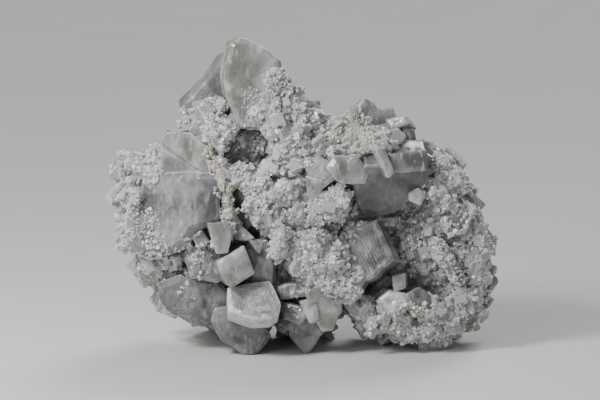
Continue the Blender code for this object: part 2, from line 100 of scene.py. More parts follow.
# Tablets: the distance between their points, the growth steps of their faces and the wear of their edges.
STEP = 0.5
SIDE_STEP = 1.2
GROWTH_STEP = 0.05
SMOOTH_RELIEF = 0.03
CHIPPED = 0.9
SHARP = math.radians(32)  # edges that turn more than this are sharp

# Small barite crystals: half their thickness, width and height, the most that may be, and their cut edges.
CHIP_HALVES, CHIP_MOST, CHIP_CUT = (0.4, 0.85, 1.1), (0.9, 1.7, 2.1), 0.14
BLADE_HALVES, BLADE_CUT = (1.0, 2.7, 3.4), 0.3
CHIP_ROOM = 8  # square millimetres of crust for each
CHIPS_ABOVE = 3  # none nearer to the ground than this
GRAINS_ABOVE = 1.2  # nor any calcite crystal than this
GRAIN_TILT = 0.55  # how far calcite crystals lean from straight outwards

# Barite blades grow behind this depth, none within this far across of the middle and above this height.
BLADES_BEHIND = -4
BLADE_GAP = (16, 62)

BARITE = "barite_cluster"  # the solid that all barite stands for
BARITE_IOR, CALCITE_IOR = 1.64, 1.6
FLOOR_REACH = 12  # in metres, as is the camera's distance
CAMERA_AWAY = 1.5
LOOKED_AT = (-2.4, 46.8, -12.0)  # across, up, depth

Plate = namedtuple("Plate", "name kind corners depth turn lean thick bevel relief ribs",
                   defaults=(SMOOTH_RELIEF, None))
Lump = namedtuple("Lump", "across up depth wide deep high")
Patch = namedtuple("Patch", "across up reach amount")

# Tabular barite crystals: the kind of finish, the corners of the broad face (across, up), its depth, how
# far it is turned to the right and leaned to look upwards in degrees, the thickness behind it, the width
# of its bevelled edge, the height of its broken facets, and the slant, pitch and height of its ribs. The
# finish of the clearest crystals, over the dark hollow, is a grey darkened as painted shade.
PLATES = [
    # The two tall crystals at the crown.
    Plate("crown", "milky", [(-23, 93.3), (-20.5, 95.4), (-17, 94.6), (-12.5, 92), (-8, 88.6), (-7.3, 85),
          (-6, 76), (-14, 68), (-20.5, 68), (-24, 77), (-25, 82.5), (-24.4, 88)], -13, 12, 6, 9, 1.2),
    Plate("crown_shoulder", "etched", [(-12, 85.5), (-8, 86), (-4.5, 83), (-4.4, 77.5), (-7, 74), (-12, 76)],
          -15, 28, 12, 8, 1, 0.25),
    Plate("wing", "smoky", [(-24, 92), (-27.4, 90.6), (-32, 84.6), (-35.7, 80.6), (-39.5, 76.5), (-39, 73.7),
          (-35, 70.5), (-28, 64), (-20, 66), (-20, 88)], -6, -12, 8, 6, 2.4, 0.06),
    # The block under them, whose lower facet looks down.
    Plate("left_block", "milky", [(-43.4, 66), (-41.4, 67.5), (-35, 67), (-30, 62.5), (-26.6, 57.6),
          (-29.6, 54.4), (-34.3, 56.8), (-44.2, 62.8), (-44.2, 64.5)], -18.4, -6, 10, 13, 0.4, 0.01),
    Plate("left_block_facet", "milky", [(-44, 62.4), (-34.4, 56.6), (-31, 54.6), (-33, 53), (-44, 54.6)],
          -18.6, -8, -22, 12, 0.4, 0.02, (0.9, 1.6, 0.12)),
    # The large table on the left, with a clean step on its right.
    Plate("left_table", "etched", [(-47.5, 57), (-35.5, 57.6), (-27, 57), (-27, 40), (-34, 37),
          (-35.5, 33.5), (-41, 30.5), (-48, 29), (-53.5, 32), (-55, 37), (-54, 46), (-51, 53)], -20, -10, 8,
          18, 2.5, 0.12, (0.03, 1.3, 0.06)),
    Plate("table_step", "clear", [(-34.3, 47), (-33.5, 54), (-26.4, 54.3), (-26.4, 40.2), (-33.5, 39.5)],
          -23.2, -6, 6, 12, 0.7, 0.03, (0, 2.2, 0.04)),
    # Clear crystals at the lower left.
    Plate("clear_upper", "clear", [(-47.5, 28.5), (-43, 31), (-36.5, 27.5), (-32, 23), (-38, 19.5),
          (-45, 21.5)], -14, -12, 12, 10, 1, 0.4),
    Plate("clear_lower", "clear", [(-45.5, 21.5), (-38.5, 24), (-31, 19), (-29, 10.2), (-34, 11.6),
          (-41, 11.6), (-43.3, 14), (-45.6, 17.7)], -16, -14, -14, 13, 1.6, 0.4),
    Plate("clear_inner", "clear", [(-37, 25), (-28, 24), (-23, 19), (-23.8, 12), (-31, 10.5), (-34, 17)],
          -19, 6, -8, 12, 1.2, 0.3),
    Plate("left_shelf", "etched", [(-31, 34), (-24, 33), (-23, 27), (-27, 22), (-35, 23.5), (-37, 29)], -21,
          -4, 14, 12, 0.8, 0.3),
    # Sharp crystals at the middle of the lower left.
    Plate("square_block", "milky", [(-27, 28.5), (-19, 33.4), (-15.6, 25), (-22.6, 20.6), (-25, 22.5)], -28,
          10, 8, 12, 1),
    Plate("frosted_block", "frosted", [(-24, 21), (-17.5, 22.2), (-11.3, 23), (-9.3, 19), (-8, 16),
          (-8.6, 13), (-11, 11.7), (-16.5, 11.5), (-20.5, 12.8), (-23.7, 14)], -26, 4, 30, 9, 1, 0.08),
    Plate("foot_blade", "clear", [(-29, 10.2), (-26, 4.2), (-22.5, 2.4), (-19, -0.4), (-16.6, -0.4),
          (-14, 1.2), (-11, 5.5), (-12.2, 8), (-13.5, 11), (-20.5, 15), (-28, 14)], -20, 5, -6, 9, 1.4, 0.16),
    Plate("card", "milky", [(-30, 40), (-24, 40.3), (-22.6, 36.5), (-23.6, 31), (-27.3, 30.6)], -27, 8, 4, 5,
          0.4),
    Plate("small_card", "clear", [(-34.8, 36), (-31.8, 38), (-29.8, 35), (-33.4, 32.6)], -26, -8, 10, 7, 0.4),
    Plate("shadow_blade", "smoky", [(-24, 49), (-20.5, 50), (-15.5, 40.5), (-19, 37), (-23.5, 44)], -19, -28,
          -14, 8, 0.6),
    Plate("splinter", "milky", [(-23, 38.6), (-20.5, 39.8), (-16, 35.6), (-18.5, 34.6), (-21.8, 35)], -22,
          -10, 18, 7, 0.4),
    Plate("niche_blade", "clear", [(-19, 33.5), (-12.3, 35), (-10.5, 28), (-10.8, 22), (-15.5, 19),
          (-20, 26)], -20, -14, -8, 8, 0.6),
    Plate("niche_card", "milky", [(-18, 35.4), (-12, 34.8), (-14.4, 30.6)], -22, 22, 16, 5, 0.3),
    # Plates fanned out at the foot in the middle.
    Plate("foot_strip", "etched", [(-9.6, 21), (-5, 22.6), (1, 21.6), (4, 18.5), (-2.5, 17.8), (-8.2, 17)],
          -20, -12, 16, 9, 0.7, 0.12),
    Plate("foot_step", "clear", [(-8.2, 16.6), (-3, 15.6), (0.6, 13), (-2.6, 9.4), (-7.6, 11)], -20, -18, 18,
          8, 0.6, 0.1),
    Plate("foot_diamond", "clear", [(-6, 9.4), (-3.5, 15), (3, 13), (5, 7), (0.4, 0.4), (-1, 0.4),
          (-5.4, 5.4)], -18, 6, -6, 6, 1, 0.1),
    Plate("foot_tooth", "clear", [(-11, 10), (-7, 12), (-5.4, 8), (-7, 6.4), (-9, 7)], -16, -22, 6, 7, 0.5),
    Plate("foot_smooth", "milky", [(-1, 19.6), (3.6, 22), (9.6, 18.4), (10.6, 13.4), (9, 11.4), (7.8, 7.3),
          (4.2, 7), (1.6, 12)], -21, 12, -6, 9, 0.7),
    Plate("foot_wedge", "milky", [(-3, 16.5), (2.6, 18), (3, 11), (0.4, 9.6)], -22, -20, 10, 7, 0.5),
    # The slab that lies under the middle crust, and the ribbed one to its right.
    Plate("coated_slab", "etched", [(-5, 40), (3, 42), (7.6, 35), (11.4, 30.5), (17.4, 26.4), (17.6, 24),
          (13.5, 17), (6, 16.5), (-2.5, 21), (-7.5, 27)], -20, -8, 16, 14, 1.2, 0.4),
    Plate("ribbed_slab", "etched", [(9, 36), (12, 39.5), (20.5, 41), (25.6, 29), (19, 23), (16.5, 22.6),
          (13, 28)], -20, -12, 14, 13, 0.8, 0.03, (0.55, 1.05, 0.36)),
    # The pale shelf in the middle, the narrow crystal beside it and the block that overhangs the hollow.
    Plate("shelf", "milky", [(8, 60), (15.3, 60.4), (18.4, 55), (17.3, 51.7), (10.8, 51.4), (8.2, 53),
          (5.6, 56.5)], -25, 14, 10, 13, 1.6),
    Plate("shelf_left", "etched", [(-2.4, 59), (3, 59.6), (8, 57.6), (8.4, 53.4), (4, 50), (0, 53.4)], -23,
          -14, 8, 12, 0.9, 0.2),
    Plate("shelf_under", "etched", [(-1, 54), (4.6, 52.8), (3.2, 46.5), (-0.6, 47)], -23, -22, -6, 9, 0.6),
    Plate("matchstick", "milky", [(19.8, 62), (22.4, 62.6), (25.6, 55.6), (25.2, 54), (23.6, 53)], -27, 12,
          6, 6, 0.4),
    Plate("overhang", "smoky", [(13, 51), (17, 57), (27.5, 57.5), (36, 57), (36.3, 52.5), (33, 48.5),
          (28.5, 44.6), (25.6, 42.6), (17.4, 41), (14.4, 45.6)], -19, 6, -30, 13, 0.6, 0.03,
          (0.05, 1.8, 0.06)),
    Plate("overhang_top", "etched", [(24.5, 60.6), (35, 62.2), (36.4, 59), (35.6, 55.6), (25, 55)], -22, 8,
          24, 12, 0.8),
    # The peak on the right and the pale chips beside it.
    Plate("peak", "etched", [(9, 70.4), (17, 77.6), (19.5, 76.6), (23, 73), (27.5, 69), (21.5, 65),
          (11, 65)], -6, 4, 10, 10, 0.9, 0.15),
    Plate("peak_chip", "milky", [(24, 68), (27, 68.6), (29.6, 66), (27.6, 62.4), (24.4, 63.6)], -14, 10, 16,
          10, 0.5),
    Plate("peak_rim", "milky", [(23, 71), (29, 72.6), (30.6, 70), (24.6, 67.6)], -9, -16, 22, 9, 0.5),
    Plate("peak_edge", "etched", [(28.6, 68.6), (32, 68), (32.7, 65.4), (31, 62.6), (28, 62.6)], -8, 16, 6,
          9, 0.5),
    # Small crystals round the hollow on the right.
    Plate("hollow_chip", "milky", [(30, 49), (33, 50.6), (35.4, 48), (33.6, 45), (30.4, 46.6)], -21, 8, 10,
          8, 0.4),
    Plate("rim_tip", "milky", [(50, 39), (55, 35.2), (53.6, 33.4), (48.4, 34)], -8, 14, 12, 12, 0.6),
    Plate("rim_card", "etched", [(41, 41.5), (46.5, 43.5), (48, 38), (43, 36)], -17, 18, 8, 8, 0.4),
    Plate("spur", "clear", [(52, 24.6), (57.4, 23.8), (58, 22), (54.6, 17.4), (50.4, 19.6)], -6, 20, 10, 10,
          0.8),
    Plate("lower_spur", "clear", [(52, 17.4), (56.6, 17), (54.4, 13.2), (50.6, 13.6)], -7, 16, 0, 9, 0.5,
          0.15),
    Plate("upper_tip", "etched", [(42, 56.6), (44.7, 55), (47.2, 51.2), (44, 49)], -8, 20, 4, 9, 0.5),
    Plate("pocket_card", "etched", [(25, 24), (29, 25), (29.4, 20.4), (25.6, 19)], -19, -6, 8, 10, 0.4),
    Plate("pocket_wedge", "milky", [(20.6, 17.4), (24.4, 20.4), (28.6, 19), (30.6, 16.6), (26, 12.4),
          (21, 13.4)], -20, -14, 24, 9, 0.5),
    Plate("pocket_block", "etched", [(29.4, 18.6), (33.4, 21), (36.6, 18.6), (36.6, 13.6), (32, 12)], -20,
          14, 12, 9, 0.5),
    Plate("ridge_upper", "etched", [(38, 34.4), (40, 35.4), (44.6, 27.6), (42.4, 26)], -17, 24, 4, 9, 0.3,
          0.2),
    Plate("ridge_lower", "etched", [(41.4, 29), (43.4, 30), (47.6, 22.4), (45.6, 21)], -18, 24, 0, 9, 0.3,
          0.2),
    Plate("right_toe", "etched", [(33.4, 1.4), (36.2, -1.4), (38.6, -1.4), (43.4, 3.4), (43.2, 9), (36, 8)],
          -12, 10, -10, 12, 0.7, 0.3),
]

# Rounded masses of barite behind the plates: centre (across, up, depth), then half-sizes.
BODY = [
    Lump(2, 42, 3, 27, 20, 20), Lump(-40, 44, 1, 14, 17, 13), Lump(-36, 24, 1, 11, 14, 11),
    Lump(-22, 64, 2, 12, 13, 13), Lump(-17, 77, 2, 8, 7, 9), Lump(-3, 64, 2, 13, 14, 10),
    Lump(-20, 14, 0, 9, 15, 11), Lump(-20, 10, 12, 9, 12, 8), Lump(-1, 17, 0, 8, 14, 10),
    Lump(0, 10, 9, 6, 10, 8), Lump(35, 35, 8, 18, 17, 19), Lump(31, 53.4, 3, 15, 15, 8),
    Lump(46, 28, 0, 8.4, 12, 13), Lump(42, 42, -1, 7.4, 12, 9.6), Lump(17, 65, 2, 12, 11, 8),
    Lump(37, 10, 1, 9, 17, 9), Lump(46, 17, -1, 7.5, 11, 8), Lump(22, 15, -1, 9, 13, 8),
    Lump(30, 12, -1, 9, 14, 8), Lump(-8, 24, 2, 16, 16, 12), Lump(-20, 36, 1, 11, 15, 11),
]

# Calcite crusts: lumps of small crystals, by the crust's name.
CRUSTS = {
    "calcite_crust_crown": [
        Lump(-30, 75.5, -10, 3, 4, 3), Lump(-26, 75, -11, 3, 4, 3), Lump(-32.5, 72.4, -9, 3, 4, 3),
        Lump(-28, 71, -12, 4, 5, 4), Lump(-24, 68.5, -14, 4, 5, 4), Lump(-29.5, 67, -13, 3.4, 5, 4),
        Lump(-26.5, 63.5, -16, 3.4, 5, 4), Lump(-36.4, 69.6, -9, 2.6, 4, 2.6),
        # Smaller lumps between those, which close the crust up to the crystals beside it.
        Lump(-33, 68.6, -11.5, 2.8, 4.6, 2.8), Lump(-31, 64.8, -14.5, 2.6, 4.6, 2.6),
    ],
    "calcite_crust_shoulder": [
        Lump(-14, 72.6, -16, 3, 4, 3.4), Lump(-10, 75.6, -15, 3.4, 4, 3.4), Lump(-5, 74, -12, 4.4, 5, 4),
        Lump(-1, 70.6, -11, 4, 5, 3.6), Lump(3, 68, -10, 3, 5, 3), Lump(-9.6, 69, -17, 4, 5, 4),
        Lump(-4.4, 65.6, -17, 4.4, 5, 4), Lump(-7.6, 61.4, -19, 3, 4, 3), Lump(7.4, 66, -11, 3, 5, 3),
        Lump(12.4, 65.4, -13, 3.6, 5, 3.2), Lump(17.6, 65, -14, 3.6, 5, 3.2), Lump(22, 62.8, -15, 3.4, 5, 3),
        Lump(15, 62, -17, 3.6, 4, 2.8), Lump(9.4, 62.6, -17, 3.4, 4, 2.6),
        # Smaller lumps between those, which close the crust up to the crystals beside it.
        Lump(-1.5, 62.5, -17, 4, 5, 3.4), Lump(4, 62.5, -17.5, 3.6, 4, 3), Lump(8, 60.6, -18, 2.6, 4, 2.4),
        Lump(-4, 57.6, -18, 4, 5, 3), Lump(1.5, 57, -18.5, 3, 4, 3), Lump(-10, 56.4, -17, 4, 5, 3.2),
    ],
    "calcite_crust_centre": [
        Lump(-21, 53.6, -18, 5, 5, 4), Lump(-14.6, 50, -20, 5, 5, 4.6), Lump(-8.6, 48.4, -20, 5, 5, 5),
        Lump(-2.8, 43.4, -20, 5, 5, 4), Lump(-14, 44.6, -21, 4.6, 5, 4.6), Lump(-10, 41, -21, 4.6, 5, 4),
        Lump(-8, 37, -22, 3.4, 4.4, 3.6), Lump(-8.6, 32, -24, 2.8, 3.4, 2.8), Lump(8, 46, -21, 4.4, 5, 4.4),
        Lump(3, 44.5, -21, 4.4, 4.6, 3.6), Lump(-3, 35, -20, 4, 4, 4), Lump(2, 33.6, -21, 5.6, 4.4, 5),
        Lump(7.6, 28.6, -21, 5, 4.4, 5), Lump(13.4, 24.6, -20, 4, 4, 3.4), Lump(0, 27.6, -22, 5.4, 4.4, 5),
        Lump(6.4, 23, -21, 5, 4, 4), Lump(12.4, 20.4, -20, 4, 4, 3.4),
        # Smaller lumps between those, which close the crust up to the crystals beside it.
        Lump(-24.6, 54, -16, 3, 4, 3), Lump(-24.2, 49, -17, 3, 4, 3.6), Lump(-24.4, 44, -18, 2.6, 4, 3.4),
        Lump(-22.5, 40.5, -18, 2.6, 4, 2.6), Lump(0, 48.4, -18, 2.6, 4, 2.6),
        Lump(-29.5, 60.6, -17.5, 2.2, 3.5, 1.8), Lump(-27.4, 57.4, -18.8, 2.4, 3.8, 2.2),
        Lump(-25.6, 54, -20.2, 2.4, 4, 2.4), Lump(-24.4, 50.4, -20.4, 2.2, 4, 2.6),
        Lump(-23.8, 46.6, -20.4, 2.1, 4, 2.4), Lump(-23.4, 43, -20.2, 2, 3.8, 2.2),
        Lump(-23.6, 38.4, -21.5, 1.7, 4, 1.8), Lump(-2.4, 52.6, -19, 2.4, 4, 2.6),
    ],
    "calcite_crust_left": [
        Lump(-55, 55.4, -10, 3.4, 5, 4), Lump(-53, 49, -13, 5, 6, 5.6), Lump(-50.6, 57, -10, 3.4, 5, 3.4),
        Lump(-46, 59.4, -11, 3.6, 5, 3.4), Lump(-54, 35, -12, 3.4, 5, 4), Lump(-54, 41, -11, 3, 5, 4),
        # Smaller lumps between those, which close the crust up to the crystals beside it.
        Lump(-46.5, 28.5, -10, 4, 6, 3.6), Lump(-40.5, 29.5, -12, 4.4, 6, 3), Lump(-34.5, 30.4, -14, 3, 5, 3),
    ],
    "calcite_crust_right": [
        Lump(40, 57, -9, 4, 6, 3.4), Lump(43, 52, -10, 4, 6, 4), Lump(38.6, 50.6, -14, 4, 5, 3.4),
        Lump(40.6, 46, -13, 4, 5, 4), Lump(46, 42.6, -10, 4, 6, 4), Lump(49.6, 37, -9, 4, 6, 4),
        Lump(50.4, 30.4, -9, 4, 6, 4.4), Lump(50.6, 24.6, -9, 4, 6, 4), Lump(47.4, 18, -11, 4, 6, 4),
        Lump(44.6, 14.4, -12, 4, 5, 4), Lump(17, 15, -14, 4, 5, 3.6), Lump(21.4, 11.6, -15, 4.4, 5, 3.4),
        Lump(26.6, 9.6, -15, 4.4, 5, 3.6), Lump(31.6, 8, -14, 4.4, 5, 4), Lump(37.4, 12.6, -15, 4.4, 5, 4),
        Lump(42, 11, -13, 4.4, 5, 4),
    ],
}

# Patches on the show face: the middle, the reach and how much. Recesses that the body fills out, in
# millimetres.
FILLED = [
    Patch(-14, 62, 9, 2), Patch(-25, 43, 6, 6), Patch(-22, 52, 6, 2.5), Patch(0, 47, 5, 2.5),
    Patch(-46, 29, 9, 4.5), Patch(-36, 28, 8, 3), Patch(-12, 30, 6, 2.5), Patch(-2, 62, 7, 4),
]

# Where small calcite crystals sit on the barite's broad faces, and how closely they cover it.
COATED = [
    Patch(-10, 78, 6, 0.75), Patch(-14.5, 74.5, 5, 0.75), Patch(-9.5, 82, 5.5, 0.85),
    Patch(-17.8, 78.8, 3.5, 0.7), Patch(16, 38, 4.5, 0.55), Patch(18, 33, 6, 0.3), Patch(-6.9, 73.8, 8, 1),
    Patch(-13.8, 67, 7, 1), Patch(-17, 73, 3.5, 0.5), Patch(-35.4, 72.5, 4.5, 0.9), Patch(-27.9, 70, 7.5, 1),
    Patch(-28.4, 61.5, 4, 0.9), Patch(-54.6, 54.3, 6, 1), Patch(-55.6, 46.8, 4.5, 0.9),
    Patch(-55.6, 35, 5, 0.9), Patch(-48.4, 29.8, 5, 0.5), Patch(-46, 16.5, 3.5, 0.4),
    Patch(-40.5, 27, 5, 0.5), Patch(-31, 31, 5.5, 0.7), Patch(-43.5, 24, 3.5, 0.5), Patch(-25, 50, 4, 1),
    Patch(-24.5, 43, 3.5, 1), Patch(-27, 56.5, 3.5, 1), Patch(3.6, 30.5, 13, 1), Patch(-2, 38, 7, 1),
    Patch(10, 22, 8, 1), Patch(12, 38.6, 4, 0.8), Patch(0.6, 57.5, 3.5, 0.6), Patch(14, 68.3, 6.5, 0.8),
    Patch(22, 66, 4, 0.5), Patch(9, 67.5, 4, 0.9), Patch(-51, 40, 9, 0.8), Patch(-46, 33, 8, 0.6),
    Patch(-47, 55, 5, 0.9), Patch(-38, 33, 5, 0.6), Patch(-40, 45, 9, 0.15), Patch(-40, 54, 5, 0.35),
    Patch(-36, 22, 8, 0.35), Patch(-6, 79, 5, 0.8), Patch(-16, 73, 5, 0.6), Patch(-3, 19, 4, 0.3),
    Patch(8, 15, 4, 0.3), Patch(12, 60, 3, 0.4), Patch(45, 32, 15, 0.7), Patch(47, 18, 10, 0.8),
    Patch(42, 50, 9, 0.8), Patch(30, 9, 12, 0.9), Patch(40, 6, 7, 0.9), Patch(20, 13.5, 5, 0.8),
    Patch(-3, 20, 5, 0.35),
]

# Where the calcite is stained cream by iron.
STAINED = [
    Patch(-31.5, 62, 4.5, 0.8), Patch(-27.5, 56.5, 5, 0.9), Patch(-25, 50, 4.5, 1),
    Patch(-23.5, 43.5, 4.5, 0.9), Patch(-29, 38.5, 3.5, 1), Patch(13, 67.5, 7.5, 1), Patch(20, 64, 6.5, 0.9),
    Patch(7, 66, 5.5, 0.7), Patch(34, 14, 7, 0.7), Patch(17, 20, 5, 0.6), Patch(-50, 31, 4, 0.6),
    Patch(42, 30, 5, 0.4), Patch(-14, 55, 5, 0.4), Patch(26, 10, 6, 0.5),
]


def linear(code):
    """The linear red, green, blue and alpha of an sRGB hex value such as "9C9B98"."""
    srgb = np.array([int(code[i:i + 2], 16) for i in (0, 2, 4)]) / 255
    low, high = srgb / 12.92, ((srgb + 0.055) / 1.055) ** 2.4
    return (*np.where(srgb <= 0.04045, low, high).tolist(), 1.0)


class SpecimenSizes(bpy.types.PropertyGroup):
    """The sizes of the crystals."""

    grain: FloatProperty(name="Calcite crystal", description="Length of a usual calcite crystal",
                         default=0.58 * MM, unit="LENGTH")
    chips: IntProperty(name="Small barite crystals", description="Small barite crystals on the body",
                       default=2800, min=1)
    blades: IntProperty(name="Barite blades", description="Barite blades on the back and the sides",
                        default=340, min=1)
    crowding: FloatProperty(name="Crowding", description="Calcite crystals on a square millimetre of crust",
                            default=1.45, min=0)
    lens: FloatProperty(name="Lens", description="Focal length in millimetres", default=300.0)


def colour(name, description, code):
    return FloatVectorProperty(name=name, description=description, size=4, subtype="COLOR",
                               default=linear(code))


class SpecimenColours(bpy.types.PropertyGroup):
    """The colours of the crystals and the stage."""

    milky: colour("Milky barite", "Cloudy barite", "82827E")
    clear: colour("Clear barite", "See-through barite", "5C5D60")
    calcite: colour("Calcite", "White calcite", "F3F4F4")
    cream: colour("Stained calcite", "Calcite stained by iron", "D9D0BA")
    brown: colour("Deep stain", "Iron stain in the crevices", "9C8965")
    floor: colour("Floor", "The studio floor", "CFCECB")


def sizes():
    return bpy.context.scene.specimen_sizes


def colours():
    return bpy.context.scene.specimen_colours


# Shapes as arrays.


def in_space(across, up, depth):
    """Places on the show face, in millimetres, as points in space, in metres."""
    across, up, depth = np.broadcast_arrays(across, up, depth)
    height = (up - (depth - FOOT_DEPTH) * math.sin(LOOK_DOWN)) / math.cos(LOOK_DOWN)
    return np.stack((across, depth, height), axis=-1) * MM


def on_show_face(points):
    """Points in space as (across, up) on the show face, in millimetres."""
    x, y, z = points.T / MM
    return np.stack((x, z * math.cos(LOOK_DOWN) + (y - FOOT_DEPTH) * math.sin(LOOK_DOWN)), axis=1)


def hashed(cells, seed):
    """A number from 0 to 1 for each whole-numbered cell, the same each time."""
    mixed = cells[:, 0] * 73856093 ^ cells[:, 1] * 19349663 ^ cells[:, 2] * 83492791 ^ seed * 2654435761
    mixed = (mixed ^ mixed >> 13) * 1274126177
    return ((mixed ^ mixed >> 16) & 0xFFFF) / 0xFFFF


def swells(points, size, seed):
    """Smooth noise from 0 to 1: a number at each corner of a cubic lattice, blended between the corners."""
    at = points / size
    base = np.floor(at).astype(np.int64)
    part = at - base
    part = part * part * (3 - 2 * part)
    total = np.zeros(len(points))
    for corner in itertools.product((0, 1), repeat=3):
        weight = np.prod(np.where(corner, part, 1 - part), axis=1)
        total += weight * hashed(base + corner, seed)
    return total


def nearest_spot(points, size, seed, numbers=1):
    """For the nearest of a set of scattered spots, one in each cell: the way from it to each point, and
    this many numbers from 0 to 1 that are the spot's own."""
    at = points / size
    base = np.floor(at).astype(np.int64)
    least, away, own = np.full(len(points), 9.0), np.zeros(points.shape), np.zeros((len(points), numbers))
    for step in itertools.product((-1, 0, 1), repeat=3):
        cell = base + step
        dice = np.stack([hashed(cell, seed + k) for k in range(3 + numbers)], axis=1)
        way = at - cell - dice[:, :3]
        far = (way * way).sum(axis=1)
        nearer = (far < least)[:, None]
        away, own = np.where(nearer, way, away), np.where(nearer, dice[:, 3:], own)
        least = np.minimum(least, far)
    return away, own


def facets(points, size, seed):
    """Broken crystal faces: each point takes the flat of the nearest spot, at its own height and slope."""
    away, own = nearest_spot(points, size, seed, 4)
    return own[:, 0] - 0.5 + 2.2 * (away * (own[:, 1:] - 0.5)).sum(axis=1)


def patched(points, patches):
    """How much of a set of patches covers each point. Each fades out evenly between half its reach and its
    reach, and none shows on the back."""
    seen = on_show_face(points)
    most = np.zeros(len(points))
    for patch in patches:
        far = np.hypot(seen[:, 0] - patch.across, seen[:, 1] - patch.up) / patch.reach
        most = np.maximum(most, patch.amount * np.clip(2 - 2 * far, 0, 1))
    return np.where(points[:, 1] < 2 * MM, most, 0)


def body_rise(points):
    """How far the body's skin stands out from its lumps, in millimetres: broken ledges over slow swells,
    then what fills its recesses, then facets of two sizes."""
    at = points / MM
    level = nearest_spot(at, LEDGE_SIZE, 20)[1][:, 0]
    ledges = swells(at, SWELL_SIZE, 10) + 0.5 * swells(at, SWELL_SIZE / 2, 11) + level - 1.25
    start = patched(points, FILLED) - 0.5
    return start + ROUGHNESS * ledges + 1.1 * facets(at, 4.5, 120) + 0.8 * facets(at, 2.2, 130)


def crust_rise(points, shrunk):
    """How far a crust's skin stands out from its lumps, in millimetres: facets of three sizes."""
    at = points / MM
    coarse, middling, fine = (facets(at, size, seed) for size, seed in ((4.2, 140), (2.1, 150), (1.1, 160)))
    return -0.7 - shrunk + 1.4 * coarse + 0.9 * middling + 0.5 * fine


def stained(points):
    """How stained the calcite is at each point: its patches, broken up by noise, and a trace elsewhere."""
    at = points / MM
    patches = patched(points, STAINED) * (0.35 + 1.1 * swells(at, 2.2, 31))
    return np.clip(patches + 0.5 * (swells(at, 7, 32) - 0.62), 0, 1)


def unit(vectors):
    return vectors / np.maximum(np.linalg.norm(vectors, axis=-1, keepdims=True), 1e-12)


def inset(corners, by, normal):
    """A convex outline moved inwards in its own plane: each corner along the line that halves its angle."""
    before = np.cross(normal, unit(corners - np.roll(corners, 1, axis=0)))
    after = np.cross(normal, unit(np.roll(corners, -1, axis=0) - corners))
    middle = unit(before + after)
    return corners + middle * by / np.maximum((middle * before).sum(axis=1, keepdims=True), 0.5)


def sampled(corners, counts):
    """Points along an outline's edges, this many on each, their corners rounded by a mean of three."""
    ahead = np.roll(corners, -1, axis=0)
    points = np.concatenate([a + (b - a) * (np.arange(n) / n)[:, None]
                             for a, b, n in zip(corners, ahead, counts)])
    return (points + (np.roll(points, 1, axis=0) + np.roll(points, -1, axis=0))) / 3


def ring_faces(rings, around, ends=2):
    """Four-sided faces between rings of points, and triangles from the first ring to one end point and
    from the last to another. The end points' numbers follow the rings'."""
    index = np.arange(rings * around).reshape(rings, around)
    ahead = np.roll(index, -1, axis=1)
    quads = np.stack((index[:-1], index[1:], ahead[1:], ahead[:-1]), axis=-1).reshape(-1, 4)
    first = np.stack((np.full(around, index.size), index[0], ahead[0]), axis=1)
    last = np.stack((np.full(around, index.size + 1), ahead[-1], index[-1]), axis=1)
    return quads, np.concatenate((first, last)[:ends])


def profile(reach, thick, bevel, step):
    """A tablet's profile, from near the middle of the front face out to its edge, down the bevel and the
    side and back to the middle. Each row is its share of the way out, how far inside the outline and how
    far behind the face it lies, and how bright the painted highlight along its rim is. Pairs of rows
    lie close together where the profile turns."""
    inner = np.linspace(0, 1, max(5, round(reach / step / 1.3)))[1:]
    fine = min(0.12 * MM, bevel / 5)
    drop = 0.7 * bevel
    # The last number in each row is the strength of the painted highlight along the rim: strongest where the
    # bevel meets the side, half as strong at the back edge, faint on the front edge and the bevel.
    rows = [(share, bevel + 3 * fine, 0.0, 0.0) for share in inner]
    rows += [(1, bevel + fine, 0.0, 0.25), (1, bevel - fine, 0.7 * fine, 0.25)]
    rows += [(1, bevel - 2 * fine, 1.4 * fine, 0.1), (1, 2 * fine, drop - 1.4 * fine, 0.1)]
    rows += [(1, fine, drop - 0.7 * fine, 1.0), (1, 0.0, drop + fine, 1.0), (1, 0.0, drop + 2 * fine, 0.1)]
    rows += [(1, 0.0, below, 0.0) for below in np.linspace(drop + 3 * fine, thick - drop - fine, 4)]
    rows += [(1, fine, thick - drop + 0.7 * fine, 0.5), (1, bevel, thick, 0.5)]
    rows += [(share, bevel + fine, thick, 0.0) for share in (0.75, 0.5, 0.25)]
    return inner, rows


